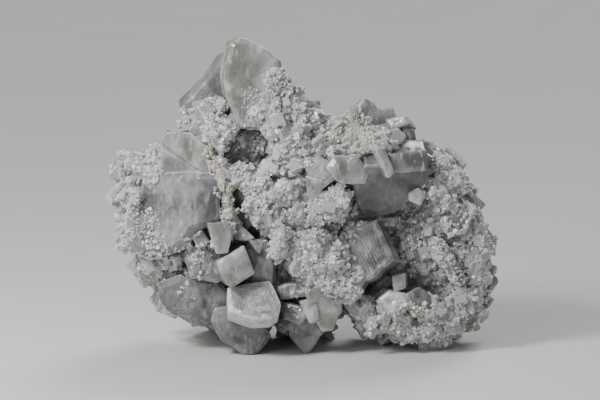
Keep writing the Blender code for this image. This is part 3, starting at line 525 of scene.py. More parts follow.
def tablet(corners, thick, bevel, seed, step, relief=SMOOTH_RELIEF, ribs=None):
    """A tabular crystal. Its surface is a grid: one parameter runs round the outline, the other along the
    profile. The front face has low growth steps, which are noise rounded down to whole levels, then
    broken facets, and ribs that are the size of a sine. Returns points, faces, how bright the painted
    highlight along the rim is, and how far in from the edge each point lies in millimetres."""
    normal = unit(np.cross(corners, np.roll(corners, -1, axis=0)).sum(axis=0))
    middle = corners.mean(axis=0)
    lengths = np.linalg.norm(np.roll(corners, -1, axis=0) - corners, axis=1)
    counts = np.maximum(np.round(lengths / step), 3).astype(int)
    reach = np.linalg.norm(corners - middle, axis=1).mean()
    inner, rows = profile(reach, thick, bevel, step)
    rings = []
    for share, inwards, below, _ in rows:
        outline = sampled(inset(corners, inwards, normal), counts)
        rings.append(middle + (outline - middle) * share - normal * below)
    rings = np.stack(rings)
    share, inwards, _, rim = np.array(rows).T

    out = unit(rings - middle - normal * ((rings - middle) @ normal)[..., None])
    chipped = np.clip(swells(rings[len(inner)] / MM, 1.7, seed) - 0.55, 0, 1) * CHIPPED * MM
    rings = rings - out * chipped[None, :, None] * (share ** 6)[:, None, None]

    face = rings[:len(inner)].reshape(-1, 3) / MM
    around = rings.shape[1]
    grown = 0.25 * np.repeat(inner, around) + 0.8 * swells(face, 7, seed + 1)
    broken = 0.6 * facets(face, 2, seed + 2) + 1.4 * facets(face, 5, seed + 3)
    levels = np.floor(6 * grown) * -GROWTH_STEP + relief * broken
    if ribs:
        slant, pitch, height = ribs
        levels += height * np.abs(np.sin((face[:, 0] + slant * face[:, 2]) * math.pi / pitch))
    fade = np.clip((1 - inner) * 6, 0, 1)[:, None]
    rings[:len(inner)] -= normal * (levels.reshape(len(inner), -1) * fade * MM)[..., None]

    points = np.concatenate((rings.reshape(-1, 3), [middle - normal * 0.2 * MM, middle - normal * thick]))
    zone = (reach * (1 - share) + inwards) / MM
    return (points, *ring_faces(len(rows), around), np.append(np.repeat(rim, around), (0, 0)),
            np.append(np.repeat(zone, around), (reach / MM, reach / MM)))


def together(surfaces):
    """Several surfaces as one: their points, four-sided faces, three-sided faces and marks, in turn."""
    starts = np.cumsum([0] + [len(s[0]) for s in surfaces[:-1]])
    moved = [np.concatenate([s[k] + start for s, start in zip(surfaces, starts)]) for k in (1, 2)]
    marks = [np.concatenate([s[k] for s in surfaces]) for k in range(3, len(surfaces[0]))]
    return np.concatenate([s[0] for s in surfaces]), *moved, *marks


def plate_corners(plate):
    """The corners of a plate's broad face in space, counter-clockwise as seen from the front."""
    x, up = np.array(plate.corners, float).T
    depth = (plate.depth + (x - x.mean()) * math.tan(math.radians(plate.turn))
             + (up - up.mean()) * math.tan(math.radians(plate.lean)))
    points = in_space(x, up, depth)
    turned = np.cross(points, np.roll(points, -1, axis=0)).sum(axis=0)
    return points if turned[1] < 0 else points[::-1]


def outermost(direction):
    """Where a line from the middle last leaves the body's lumps, in this direction, and the slope there."""
    start = np.array(MIDDLE) * MM
    centres = in_space(*np.array([(b.across, b.up, b.depth) for b in BODY]).T)
    radii = np.array([(b.wide, b.deep, b.high) for b in BODY]) * MM
    line, near = direction / radii, (start - centres) / radii
    a, b, c = (line * line).sum(1), (line * near).sum(1), (near * near).sum(1) - 1
    square = b * b - a * c
    reach = np.where(square > 0, (np.sqrt(np.maximum(square, 0)) - b) / a, -1)
    best = reach.argmax()
    return start + direction * reach[best], unit((near[best] + line[best] * reach[best]) / radii[best])


def side_corners():
    """Corners and thickness of each tabular crystal on the sides, the back and the underside. They
    radiate from the middle in directions on an even spiral, and stand on edge with a random tilt and
    spin."""
    dice = random.Random(SEED)
    made = []
    for i in range(SIDE_CRYSTALS):
        level = 1 - 2 * (i + 0.5) / SIDE_CRYSTALS
        turn = i * math.pi * (3 - math.sqrt(5))
        ring = math.sqrt(1 - level * level)
        direction = unit(np.array((ring * math.cos(turn), level, ring * math.sin(turn))) * SPREAD)
        place, slope = outermost(direction)
        tilt = np.array([dice.uniform(-1, 1) for _ in range(3)])
        size = [dice.uniform(*limits) * MM for limits in SIDE_SIZES]
        spin = dice.uniform(0, math.tau)
        sunk = SUNK + SUNK_MORE * (abs(place[0]) > ENDS * MM)
        in_saddle = abs(place[0]) < SADDLE[0] * MM and place[2] > SADDLE[1] * MM
        if place[1] > -9 * MM and place[2] > 9 * MM and not in_saddle:
            out = Vector(unit(slope + 0.7 * tilt))
            turn = np.array(out.to_track_quat("Z", "Y").to_matrix() @ Matrix.Rotation(spin, 3, "Z"))
            across, along = turn[:, 1] * size[1] / 2, turn[:, 2] * size[2] / 2
            front = place - slope * sunk * MM + turn[:, 0] * size[0] / 2
            corners = np.array([front - across - along, front + across - along, front + across + along,
                                front - across + along])
            made.append((corners, size[0]))
    return made


def ball(lump):
    """A rounded lump: a sphere's grid of longitude and latitude, stretched along each axis."""
    east, north = np.meshgrid(np.linspace(0, math.tau, 33)[:-1], np.linspace(-1, 1, 19)[1:-1] * math.pi / 2)
    globe = np.stack((np.cos(north) * np.cos(east), np.cos(north) * np.sin(east), np.sin(north)), axis=-1)
    points = np.concatenate((globe.reshape(-1, 3), [(0, 0, -1), (0, 0, 1)]))
    points = in_space(lump.across, lump.up, lump.depth) + points * (lump.wide, lump.deep, lump.high) * MM
    quads, caps = ring_faces(*north.shape)
    return points, quads[:, [0, 3, 2, 1]], caps[:, [0, 2, 1]]  # these rings go upwards, so faces turn round


# Meshes and objects.


def mesh_of(name, points, quads, caps=(), flat=True, **marks):
    """A mesh of four-sided and three-sided faces. Each mark is an attribute with a number for each
    point."""
    mesh = bpy.data.meshes.new(name)
    caps = np.asarray(caps, int).reshape(-1, 3)
    loops = np.concatenate((quads.ravel(), caps.ravel())).astype(np.int32)
    starts = np.concatenate((np.arange(len(quads)) * 4, len(quads) * 4 + np.arange(len(caps)) * 3))
    mesh.vertices.add(len(points))
    mesh.loops.add(len(loops))
    mesh.polygons.add(len(starts))
    mesh.vertices.foreach_set("co", points.astype(np.float32).ravel())
    mesh.loops.foreach_set("vertex_index", loops)
    mesh.polygons.foreach_set("loop_start", starts.astype(np.int32))
    mesh.update(calc_edges=True)
    if flat:
        mesh.shade_flat()
    for mark, values in marks.items():
        mesh.attributes.new(mark, "FLOAT", "POINT").data.foreach_set("value", values.astype(np.float32))
    return mesh


def piece(name, mesh, look, solid):
    """An object for a mesh, with its finish, that rides on the specimen and stands for this solid."""
    mesh.materials.append(look)
    made = bpy.data.objects.new(name, mesh)
    bpy.context.scene.collection.objects.link(made)
    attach(made, "root")
    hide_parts(solid)


def placed(points):
    """Points moved over the origin, none below the cut that the specimen stands on."""
    points = points + TO_CENTRE
    points[:, 2] = np.maximum(points[:, 2], CLEAR_OF_FLOOR)
    return points


def read(items, key, width, kind=float):
    """A property of all of a mesh's vertices or faces, one row for each."""
    values = np.empty(len(items) * width, kind)
    items.foreach_get(key, values)
    return values.reshape(-1, width)


def gathered(name, lumps, grid):
    """Lumps melted into one skin. Returns its points, outward directions and four-sided faces."""
    made = bpy.data.objects.new(name, mesh_of(name, *together([ball(lump) for lump in lumps])))
    bpy.context.scene.collection.objects.link(made)
    melt = made.modifiers.new("Melt", "REMESH")
    melt.mode = "VOXEL"
    melt.voxel_size = grid * MM
    mesh = made.evaluated_get(bpy.context.evaluated_depsgraph_get()).to_mesh()
    points, outward = read(mesh.vertices, "co", 3), read(mesh.vertices, "normal", 3)
    quads = read(mesh.polygons, "vertices", 4, np.int32)
    made.to_mesh_clear()
    bpy.data.objects.remove(made)
    return points, outward, quads


def surface_of(name):
    """The triangles of a piece, back where the tables have them, and for each the direction that it
    faces, as long as twice its area."""
    mesh = bpy.data.objects[name].data
    mesh.calc_loop_triangles()
    corners = read(mesh.loop_triangles, "vertices", 3, np.int32)
    triangles = (read(mesh.vertices, "co", 3) - TO_CENTRE)[corners]
    return triangles, np.cross(triangles[:, 1] - triangles[:, 0], triangles[:, 2] - triangles[:, 0])


def scattered(triangles, normals, weight, count, dice, above=-math.inf):
    """Points spread over triangles, each picked in proportion to its area times its weight, and the
    directions that they face. None is less far above the ground than asked."""
    chance = np.linalg.norm(normals, axis=1) * weight
    picked = dice.choice(len(triangles), size=count, p=chance / chance.sum())
    u, v = dice.random((2, count))
    over = u + v > 1
    u, v = np.where(over, 1 - u, u)[:, None], np.where(over, 1 - v, v)[:, None]
    a, b, c = triangles[picked].transpose(1, 0, 2)
    points, outward = a + (b - a) * u + (c - a) * v, unit(normals[picked])
    keep = points[:, 2] > above * MM
    return points[keep], outward[keep]


CORNERS = np.array(list(itertools.product((-1, 1), repeat=3)), float)
CUBE_FACES = np.array([(0, 1, 3, 2), (4, 6, 7, 5), (0, 4, 5, 1), (2, 3, 7, 6), (0, 2, 6, 4), (1, 5, 7, 3)])


def rhombs(points, outward, lengths, dice):
    """Calcite rhombs: cubes flattened along a diagonal, some stretched, that point outwards along it,
    give or take a random tilt. They are part sunk. Returns points and four-sided faces."""
    diagonal = np.ones(3) / math.sqrt(3)
    own = np.stack((unit(np.array((1.0, -1, 0))), unit(np.array((1.0, 1, -2))), diagonal))
    shape = (CORNERS - 0.25 * (CORNERS @ diagonal)[:, None] * diagonal) @ own.T
    up = unit(outward + GRAIN_TILT * dice.normal(size=outward.shape))
    side = unit(np.cross(up, dice.normal(size=up.shape)))
    basis = np.stack((side, np.cross(up, side), up), axis=1)
    stretch = 1 + dice.random((len(points), 1)) * (0, 0, 0.7)
    corners = np.einsum("nkj,nji->nki", shape[None] * stretch[:, None], basis) * (lengths / 2)[:, None, None]
    corners = corners + (points + up * (lengths * 0.15)[:, None])[:, None]
    faces = CUBE_FACES[None] + 8 * np.arange(len(points))[:, None, None]
    return placed(corners.reshape(-1, 3)), faces.reshape(-1, 4)


def cut_block():
    """A block with cut edges and corners, with three points by each corner, one on each of the faces that
    meet there: for each point its corner and its face's axis, then the four-sided and three-sided
    faces."""

    def by(along, axis, face):
        """The point on a face by the corner that has these signs, the first of them along the axis."""
        x, y, z = np.roll(along, axis) > 0
        return 3 * (4 * x + 2 * y + z) + face

    quads = []
    for axis, sign in itertools.product(range(3), (-1, 1)):
        ring = [by((sign, *turn), axis, axis) for turn in ((-1, -1), (1, -1), (1, 1), (-1, 1))]
        quads.append(ring[::sign])
        for other in (-1, 1):
            near, far, beside = (sign, other, -1), (sign, other, 1), (axis + 1) % 3
            edge = [by(near, axis, axis), by(near, axis, beside), by(far, axis, beside), by(far, axis, axis)]
            quads.append(edge[::sign * other])
    caps = [[3 * k, 3 * k + 1, 3 * k + 2][::int(corner.prod())] for k, corner in enumerate(CORNERS)]
    return np.repeat(CORNERS, 3, axis=0), np.tile(np.eye(3), (8, 1)), np.array(quads), np.array(caps)


def chips(points, outward, halves, cut, dice, wander):
    """Small tabular crystals, part sunk in what they stand on and grown nearly parallel within each of
    some large cells: their angles are the cell's own, give or take. Halves are half their thickness,
    width and height. Returns points, four-sided and three-sided faces."""
    signs, full, quads, caps = cut_block()
    own = nearest_spot(points / MM, 13, 170)[1][:, 0]
    yaw, pitch, roll = (amount * (np.modf(own * factor)[0] * 2 - 1) + wander * dice.normal(size=len(own))
                        for amount, factor in ((0.9, 17), (0.6, 41), (1.5, 97)))
    front = np.stack((np.sin(yaw) * np.cos(pitch), -np.cos(yaw) * np.cos(pitch), np.sin(pitch)), axis=1)
    right = np.stack((np.cos(yaw), np.sin(yaw), np.zeros_like(yaw)), axis=1)
    top = np.cross(right, front) * -1
    cosine, sine = np.cos(roll)[:, None], np.sin(roll)[:, None]
    basis = np.stack((front, right * cosine + top * sine, top * cosine - right * sine), axis=1)
    shape = signs * (halves[:, None] - cut * (1 - full))
    corners = np.einsum("nki,nij->nkj", shape, basis) + (points + outward * halves[:, 1:2] * 0.2)[:, None]
    shift = len(signs) * np.arange(len(points))[:, None, None]
    return placed(corners.reshape(-1, 3)), (quads + shift).reshape(-1, 4), (caps + shift).reshape(-1, 3)


def small_barite(name, look, solid, points, outward, halves, cut, dice, tones, wander=0.16):
    """Adds a piece of small barite crystals, each with its own tone."""
    surface = chips(points, outward, halves * MM, cut * MM, dice, wander)
    tone = np.repeat(tones.random(len(points)), len(surface[0]) // len(points))
    piece(name, mesh_of(name, *surface, tone=tone), look, solid)


def tabular_barite(name, look, tablets):
    """Adds a piece of tabular crystals."""
    points, quads, caps, rim, zone = together(tablets)
    mesh = mesh_of(name, placed(points), quads, caps, flat=False, rim=rim, zone=zone)
    mesh.set_sharp_from_angle(angle=SHARP)
    piece(name, mesh, look, BARITE)


def ground_piece(name, look, solid, lumps, grid, rise):
    """Adds a skin over lumps, raised along its outward directions."""
    points, outward, quads = gathered(name + "_skin", lumps, grid)
    points = points + outward * rise(points)[:, None] * MM
    piece(name, mesh_of(name, placed(points), quads, stain=stained(points)), look, solid)


# Where calcite crystals grow on a piece: how many more or fewer than usual at each point.


def everywhere(points):
    return np.ones(len(points))


def in_patches(points):
    """Clumps, where the patches are above noise."""
    return 1.6 * (patched(points, COATED) > 0.1 + 0.9 * swells(points / MM, 1.7, 80))


def dusting(amount):
    """This much on half of the surface, and a trace elsewhere."""
    return lambda points: amount * (swells(points / MM, 3, 84) > 0.5) + 0.02


def half_body(side, share):
    """This share on the front (side -1) or the back (side 1), in broad swathes."""
    return lambda points: (share * (side * points[:, 1] > 0)
                           * np.clip(4 * swells(points / MM, 9, 81) - 1.5, 0.06, 1))


def coat(name, look, solid, target, weight, seed, size=1.0):
    """Adds calcite crystals scattered over a piece, larger where slow noise is high, and most of them
    stained like their place."""
    dice = np.random.default_rng(seed)
    triangles, normals = surface_of(target)
    cover = weight(triangles.mean(axis=1))
    count = (np.linalg.norm(normals, axis=1) * cover).sum() / 2 * sizes().crowding / (MM * MM)
    count = round(count)
    points, outward = scattered(triangles, normals, cover, count, dice, GRAINS_ABOVE)
    swell = swells(points / MM, 4.5, 40)
    lengths = size * sizes().grain * (0.45 + 1.1 * swell) * np.exp(0.32 * dice.normal(size=len(points)))
    lengths = np.minimum(lengths, 2.2 * sizes().grain)
    corners, faces = rhombs(points, outward, lengths, dice)
    stain = np.repeat(stained(points) * np.where(dice.random(len(points)) > 0.3, 1, 0.3), 8)
    tone = np.repeat(dice.random(len(points)), 8)
    piece(name, mesh_of(name, corners, faces, stain=stain, tone=tone), look, solid)


# Finishes.


def filled(tree, made, *values, **named):
    """Gives a node's inputs their values, in turn or by name with _ for a space, and sets its options by
    name. A value that is another node's output is linked."""
    for key in [key for key in named if hasattr(made, key)]:
        setattr(made, key, named.pop(key))
    inputs = [socket for socket in made.inputs if socket.enabled]
    by_name = {socket.name.replace(" ", "_"): socket for socket in inputs}
    for socket, value in (*zip(inputs, values), *((by_name[key], value) for key, value in named.items())):
        if isinstance(value, bpy.types.NodeSocket):
            tree.links.new(value, socket)
        else:
            socket.default_value = value


def node(tree, kind, *values, out=None, **named):
    """Adds a node with its settings and links, and returns one of its outputs, by name or else the
    first."""
    made = tree.nodes.new("ShaderNode" + kind)
    filled(tree, made, *values, **named)
    return made.outputs[out] if out else next(socket for socket in made.outputs if socket.enabled)


def new_finish(name):
    """A new material, its tree and object coordinates."""
    look = bpy.data.materials.new(name)
    look.use_nodes = True
    return look, look.node_tree, node(look.node_tree, "TexCoord", out="Object")


def finished(look, **settings):
    """A material with its shader's inputs set and linked. Light comes out a little redder than it went
    in."""
    tree = look.node_tree
    filled(tree, tree.nodes["Principled BSDF"], Subsurface_Radius=(1.0, 0.98, 0.95), **settings)
    return look


def tabular_finish(name, dark, pale, gloss, veiled, depth, **settings):
    """Tabular barite. Cleavage splits it into straight-edged blocks, each a little lighter or darker;
    clouds and veils of tiny bubbles turn it white; the sharp edges carry a painted highlight. The faces
    are glossy, with etched patches."""
    look, tree, place = new_finish(name)
    turned = node(tree, "Mapping", place, Rotation=(0.5, 0.9, 0.4), Scale=(1, 0.4, 0.4))
    blocks = node(tree, "TexVoronoi", turned, Scale=1 / (3.6 * MM), out="Color")
    small = node(tree, "TexVoronoi", turned, Scale=1 / (1.1 * MM), out="Color")
    clouds = node(tree, "TexNoise", place, Scale=1 / (8 * MM), Detail=7.0, Distortion=0.3)
    veils = node(tree, "TexNoise", turned, Scale=1 / (1.4 * MM), Detail=6.0)
    fine = node(tree, "TexNoise", turned, Scale=1 / (0.8 * MM), Detail=5.0)
    rim = node(tree, "Attribute", attribute_name="rim", out="Fac")
    mixed = node(tree, "Math", blocks, 0.16, clouds, operation="MULTIPLY_ADD")
    base = node(tree, "Mix", node(tree, "MapRange", mixed, 0.44, 0.74), dark, pale, data_type="RGBA")
    veils = node(tree, "MapRange", veils, 0.55, 0.7, 0, veiled)
    base = node(tree, "Mix", veils, base, linear("DCDDDD"), data_type="RGBA")
    # Painted highlight along the sharp edges, stronger where the clouds are high.
    highlight_strength = node(tree, "MapRange", clouds, 0.3, 0.7, 0.1, 0.65)
    edge = node(tree, "Math", rim, highlight_strength, operation="MULTIPLY")
    height = node(tree, "Math", fine, small, operation="ADD")
    return finished(look, Base_Color=node(tree, "Mix", edge, base, linear("F0F0EE"), data_type="RGBA"),
                    Roughness=node(tree, "MapRange", clouds, 0.4, 0.65, *gloss),
                    Normal=node(tree, "Bump", Height=height, Distance=depth * MM), IOR=BARITE_IOR, **settings)


def milky_barite():
    """Cloudy tabular barite, grown faces: a soft gloss over a grey that is white where it is full of
    bubbles."""
    return tabular_finish("barite_milky", tuple(colours().milky), linear("C4C5C4"), (0.12, 0.38), 0.5, 0.09,
                          Subsurface_Weight=0.7, Subsurface_Scale=2.5 * MM, Transmission_Weight=0.15)


def clear_barite():
    """Clear tabular barite: smooth and glassy, greyer where it is thick."""
    return tabular_finish("barite_clear", tuple(colours().clear), linear("A4A5A8"), (0.08, 0.3), 0.4, 0.09,
                          Subsurface_Weight=0.5, Subsurface_Scale=3.0 * MM, Transmission_Weight=0.35)


def shade_painted_barite():
    """The clearest barite, over a dark hollow: its grey is darkened, painted shade for the hollow seen
    through it and the shade it lies in, with a smooth gloss.
    """
    return tabular_finish("barite_smoky", linear("5E5F5F"), linear("8F9090"), (0.1, 0.3), 0.2, 0.05,
                          Subsurface_Weight=0.4, Subsurface_Scale=4.0 * MM, Transmission_Weight=0.3)


def etched_barite():
    """Barite that later fluids have etched: rough to the touch, so mottled and less glossy."""
    return tabular_finish("barite_etched", linear("616260"), linear("A2A3A3"), (0.25, 0.6), 0.5, 0.16,
                          Subsurface_Weight=0.6, Subsurface_Scale=1.5 * MM, Transmission_Weight=0.1)


def chip_barite():
    """Small barite crystals: glassy to milky, each its own shade, with scratched, glinting faces."""
    look, tree, place = new_finish("barite_chips")
    tone = node(tree, "Attribute", attribute_name="tone", out="Fac")
    clouds = node(tree, "TexNoise", place, Scale=1 / (1.6 * MM), Detail=5.0)
    scratches = node(tree, "TexNoise", place, Scale=1 / (0.4 * MM), Detail=4.0)
    base = node(tree, "Mix", tone, linear("A3A4A4"), linear("D2D3D3"), data_type="RGBA")
    clouds = node(tree, "MapRange", clouds, 0.4, 0.65, 0, 0.5)
    return finished(look, Base_Color=node(tree, "Mix", clouds, base, linear("DCDDDC"), data_type="RGBA"),
                    Roughness=node(tree, "MapRange", scratches, 0.35, 0.7, 0.12, 0.45),
                    Normal=node(tree, "Bump", Height=scratches, Distance=0.08 * MM), IOR=BARITE_IOR,
                    Transmission_Weight=0.25, Subsurface_Weight=0.15, Subsurface_Scale=1.0 * MM)


def frosted_barite():
    """Barite with an etched, sparkling face: finely pitted, with glints from single facets, a band of
    painted sparkle near its edge and a painted highlight along its rim."""
    look, tree, place = new_finish("barite_frosted")
    rim, zone = (node(tree, "Attribute", attribute_name=name, out="Fac") for name in ("rim", "zone"))
    pits = node(tree, "TexVoronoi", place, Scale=1 / (0.45 * MM))
    clouds = node(tree, "TexNoise", place, Scale=1 / (3 * MM), Detail=6.0, Distortion=0.8)
    base = node(tree, "Mix", node(tree, "MapRange", clouds, 0.4, 0.6), linear("7B7C7E"), linear("A9ABAD"),
                data_type="RGBA")
    # Painted sparkle: a whiter band near the edge, wider where the clouds are low.
    width = node(tree, "Math", clouds, -5.0, 3.6, operation="MULTIPLY_ADD")
    painted_sparkle_band = node(tree, "Math", width, zone, operation="SUBTRACT", use_clamp=True)
    base = node(tree, "Mix", painted_sparkle_band, base, linear("E6E8E9"), data_type="RGBA")
    # Painted highlight along the rim.
    edge = node(tree, "MapRange", rim, 0.2, 1.0, 0.0, 0.6)
    return finished(look, Base_Color=node(tree, "Mix", edge, base, linear("EEEFEF"), data_type="RGBA"),
                    Roughness=node(tree, "MapRange", pits, 0.0, 0.6, 0.1, 0.4),
                    Normal=node(tree, "Bump", Height=pits, Distance=0.16 * MM), IOR=BARITE_IOR,
                    Subsurface_Weight=0.2, Subsurface_Scale=1.0 * MM)


def iron_stain(tree, base, deep):
    """A colour that turns cream and then brown with the stain mark, brown from this much on."""
    stain = node(tree, "Attribute", attribute_name="stain", out="Fac")
    for colour, *limits in ((colours().cream, 0.15, 0.7, 0, 0.9), (colours().brown, deep, 1.0, 0, 0.3)):
        share = node(tree, "MapRange", stain, *limits)
        base = node(tree, "Mix", share, base, tuple(colour), data_type="RGBA")
    return base


def crust_finish(name, pale, dark, depth):
    """Fine-grained crust between the larger crystals: dull, sugary, stained where the marks say so."""
    look, tree, place = new_finish(name)
    grain = node(tree, "TexVoronoi", place, Scale=1 / (0.6 * MM))
    clouds = node(tree, "TexNoise", place, Scale=1 / (3 * MM), Detail=5.0)
    base = node(tree, "Mix", node(tree, "MapRange", clouds, 0.35, 0.7), dark, pale, data_type="RGBA")
    return finished(look, Base_Color=iron_stain(tree, base, 0.7),
                    Roughness=node(tree, "MapRange", grain, 0, 0.7, 0.3, 0.7),
                    Normal=node(tree, "Bump", Height=grain, Distance=depth * MM), IOR=CALCITE_IOR,
                    Subsurface_Weight=0.5, Subsurface_Scale=1.5 * MM)


def sugary_calcite():
    """Sugary calcite crystals: white, a little see-through, each face glossy, so some glint."""
    look, tree, place = new_finish("calcite_crystals")
    tone = node(tree, "Attribute", attribute_name="tone", out="Fac")
    base = node(tree, "Mix", tone, linear("BFC1C3"), tuple(colours().calcite), data_type="RGBA")
    fine = node(tree, "TexNoise", place, Scale=1 / (0.3 * MM), Detail=2.0)
    return finished(look, Base_Color=iron_stain(tree, base, 0.8), Roughness=0.22,
                    Normal=node(tree, "Bump", Height=fine, Distance=0.02 * MM), IOR=CALCITE_IOR,
                    Subsurface_Weight=0.7, Subsurface_Scale=1.5 * MM)


def floor_card():
    """Matt card with the faintest mottling."""
    look, tree, place = new_finish("floor_card")
    clouds = node(tree, "TexNoise", place, Scale=1 / (40 * MM), Detail=2.0)
    shade = node(tree, "Mix", clouds, tuple(colours().floor), linear("D5D4D1"), data_type="RGBA")
    return finished(look, Base_Color=shade, Roughness=0.85)


def aimed(name, data, towards, place=(0, 0, 0)):
    """A light or a camera whose back is turned this way."""
    made = bpy.data.objects.new(name, data)
    made.location = place
    made.rotation_euler = Vector(towards).to_track_quat("Z", "Y").to_euler()
    bpy.context.scene.collection.objects.link(made)
    return made


# Operators, one for each group of pieces and one for the stage.


class SPECIMEN_OT_body(bpy.types.Operator):
    """Make the rough mass that the barite crystals rise from."""

    bl_idname = "specimen.body"
    bl_label = "Rough body"

    def execute(self, context):
        look = crust_finish("barite_ground", linear("B0B0AD"), linear("8A8985"), 0.25)
        ground_piece("barite_body", look, BARITE, BODY, BODY_GRID, body_rise)
        return {"FINISHED"}


class SPECIMEN_OT_plates(bpy.types.Operator):
    """Make the tabular barite crystals of the show face."""

    bl_idname = "specimen.plates"
    bl_label = "Barite plates"

    def execute(self, context):
        looks = {"milky": milky_barite(), "clear": clear_barite(), "smoky": shade_painted_barite(),
                 "etched": etched_barite(), "frosted": frosted_barite()}
        groups = {kind: [] for kind in looks}
        for i, plate in enumerate(PLATES):
            step = min(STEP, plate.ribs[1] / 3.5) if plate.ribs else STEP
            made = tablet(plate_corners(plate), plate.thick * MM, plate.bevel * MM, 100 + 9 * i, step * MM,
                          plate.relief, plate.ribs)
            groups[plate.kind].append(made)
        for kind, tablets in groups.items():
            tabular_barite("barite_" + kind, looks[kind], tablets)
        return {"FINISHED"}


class SPECIMEN_OT_sides(bpy.types.Operator):
    """Make the tabular barite crystals of the sides, the back and the underside."""

    bl_idname = "specimen.sides"
    bl_label = "Side crystals"

    def execute(self, context):
        tablets = [tablet(corners, thick, SIDE_BEVEL * MM, 700 + 9 * i, SIDE_STEP * MM)
                   for i, (corners, thick) in enumerate(side_corners())]
        tabular_barite("barite_sides", bpy.data.materials["barite_milky"], tablets)
        return {"FINISHED"}


class SPECIMEN_OT_crusts(bpy.types.Operator):
    """Make the calcite crusts under their crystals."""

    bl_idname = "specimen.crusts"
    bl_label = "Calcite crusts"

    def execute(self, context):
        look = crust_finish("calcite_ground", linear("ECEDED"), linear("D2D4D4"), 0.2)
        for name, lumps in CRUSTS.items():
            ground_piece(name + "_ground", look, name, lumps, CRUST_GRID,
                         lambda points: crust_rise(points, SHRUNK.get(name, 0)))
        return {"FINISHED"}


class SPECIMEN_OT_chips(bpy.types.Operator):
    """Make the small barite crystals that stand out of the body and the crusts."""

    bl_idname = "specimen.chips"
    bl_label = "Small barite crystals"

    def execute(self, context):
        look = chip_barite()
        places, blade_sizes, angles, tones = (np.random.default_rng(SEED + k) for k in (1, 2, 3, 4))
        triangles, normals = surface_of("barite_body")
        x, y, z = triangles.mean(axis=1).T / MM
        bladed = (y > BLADES_BEHIND) & ~((np.abs(x) < BLADE_GAP[0]) & (z > BLADE_GAP[1]))
        points, outward = scattered(triangles, normals, bladed, sizes().blades, places)
        halves = np.array(BLADE_HALVES) * blade_sizes.uniform(0.6, 1.3, (len(points), 3))
        small_barite("barite_blades", look, BARITE, points, outward, halves, BLADE_CUT, angles, tones, 0.35)
        dice = np.random.default_rng(SEED)
        for target, solid in (("barite_body", BARITE), *((name + "_ground", name) for name in CRUSTS)):
            triangles, normals = surface_of(target)
            area = np.linalg.norm(normals, axis=1).sum() / 2
            count = sizes().chips if solid == BARITE else round(area / (CHIP_ROOM * MM * MM))
            weight = 0.15 + swells(triangles.mean(axis=1) / MM, 8, 83)
            points, outward = scattered(triangles, normals, weight, count, dice, CHIPS_ABOVE)
            scale = np.exp(0.38 * dice.normal(size=(len(points), 1)))
            halves = np.array(CHIP_HALVES) * scale * (0.7 + 0.6 * dice.random((len(points), 3)))
            halves = np.minimum(halves, CHIP_MOST)
            name = target.replace("_ground", "") + "_chips"
            small_barite(name, look, solid, points, outward, halves, CHIP_CUT, dice, dice)
        return {"FINISHED"}


class SPECIMEN_OT_crystals(bpy.types.Operator):
    """Scatter the small calcite crystals."""

    bl_idname = "specimen.crystals"
    bl_label = "Calcite crystals"

    def execute(self, context):
        look = sugary_calcite()
        for half, side, share in (("front", -1, 0.8), ("back", 1, 0.2)):
            coat("calcite_on_body_" + half, look, BARITE, "barite_body", half_body(side, share), 90 + side)
        for i, name in enumerate(CRUSTS):
            coat(name + "_crystals", look, name, name + "_ground", everywhere, 200 + i)
            coat("calcite_on_" + name + "_chips", look, name, name + "_chips", dusting(0.25), 330 + i)
        for i, name in enumerate(("barite_milky", "barite_clear", "barite_smoky", "barite_etched")):
            coat("calcite_on_" + name, look, BARITE, name, in_patches, 300 + i, size=0.9)
        for i, name in enumerate(("barite_body_chips", "barite_sides", "barite_blades")):
            coat("calcite_on_" + name, look, BARITE, name, dusting(0.07), 320 + i)
        return {"FINISHED"}


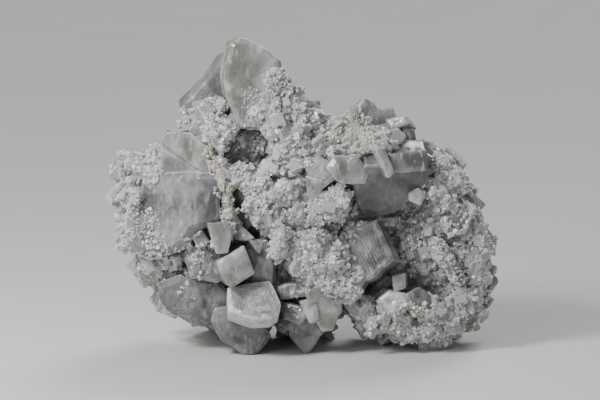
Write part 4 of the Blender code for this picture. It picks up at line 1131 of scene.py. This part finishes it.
class SPECIMEN_OT_stage(bpy.types.Operator):
    """Make the pale floor, the soft studio lights and the camera."""

    bl_idname = "specimen.stage"
    bl_label = "Studio"

    def execute(self, context):
        scene = context.scene
        east, far = np.meshgrid(np.linspace(0, math.tau, 65)[:-1], np.linspace(0.02, FLOOR_REACH, 24))
        points = np.stack((far * np.cos(east), far * np.sin(east), 0 * far), axis=-1).reshape(-1, 3)
        mesh = mesh_of("floor", np.concatenate((points, [(0, 0, 0)])), *ring_faces(*east.shape, ends=1))
        mesh.materials.append(floor_card())
        floor = bpy.data.objects.new("floor", mesh)
        scene.collection.objects.link(floor)
        scene.world = bpy.data.worlds.new("studio")
        scene.world.use_nodes = True
        tree = scene.world.node_tree
        filled(tree, tree.nodes["Background"], Color=(1.0, 1.0, 1.0, 1), Strength=0.28)
        for name, energy, towards in (("front", 0.5, (-0.7, -1.0, 0.5)), ("back", 1.8, (0.4, 0.8, 0.8))):
            lamp = bpy.data.lights.new(name, "SUN")
            lamp.energy, lamp.angle = energy, math.radians(30)
            aimed(name, lamp, towards)
        lamp = bpy.data.lights.new("key", "AREA")
        lamp.energy, lamp.size = 1.55, 0.1
        aimed("key", lamp, (-0.22, -0.2, 0.25), (-0.22, -0.2, 0.3))
        lens = bpy.data.cameras.new("camera")
        lens.lens, lens.sensor_width, lens.clip_end = sizes().lens, 36, 100
        back = Vector((0, -math.cos(LOOK_DOWN), math.sin(LOOK_DOWN)))
        aim = Vector(in_space(*LOOKED_AT) + TO_CENTRE)
        scene.camera = aimed("camera", lens, back, aim + back * CAMERA_AWAY)
        return {"FINISHED"}


class SPECIMEN_PT_panel(bpy.types.Panel):
    """The steps that build the specimen, and its sizes and colours."""

    bl_idname = "SPECIMEN_PT_panel"
    bl_label = "Barite with calcite"
    bl_space_type = "VIEW_3D"
    bl_region_type = "UI"
    bl_category = "Specimen"

    def draw(self, context):
        for group in (sizes(), colours()):
            for key in group.bl_rna.properties.keys():
                if key not in ("rna_type", "name"):
                    self.layout.prop(group, key)
        for step in STEPS:
            self.layout.operator(step.bl_idname)


STEPS = (SPECIMEN_OT_body, SPECIMEN_OT_plates, SPECIMEN_OT_sides, SPECIMEN_OT_crusts, SPECIMEN_OT_chips,
         SPECIMEN_OT_crystals, SPECIMEN_OT_stage)
CLASSES = (SpecimenSizes, SpecimenColours, *STEPS, SPECIMEN_PT_panel)


def register():
    for made in CLASSES:
        bpy.utils.register_class(made)
    bpy.types.Scene.specimen_sizes = PointerProperty(type=SpecimenSizes)
    bpy.types.Scene.specimen_colours = PointerProperty(type=SpecimenColours)


def unregister():
    del bpy.types.Scene.specimen_colours
    del bpy.types.Scene.specimen_sizes
    for made in reversed(CLASSES):
        bpy.utils.unregister_class(made)


def main():
    register()
    bpy.ops.specimen.body()
    bpy.ops.specimen.plates()
    bpy.ops.specimen.sides()
    bpy.ops.specimen.crusts()
    bpy.ops.specimen.chips()
    bpy.ops.specimen.crystals()
    bpy.ops.specimen.stage()


if __name__ == "__main__":
    main()
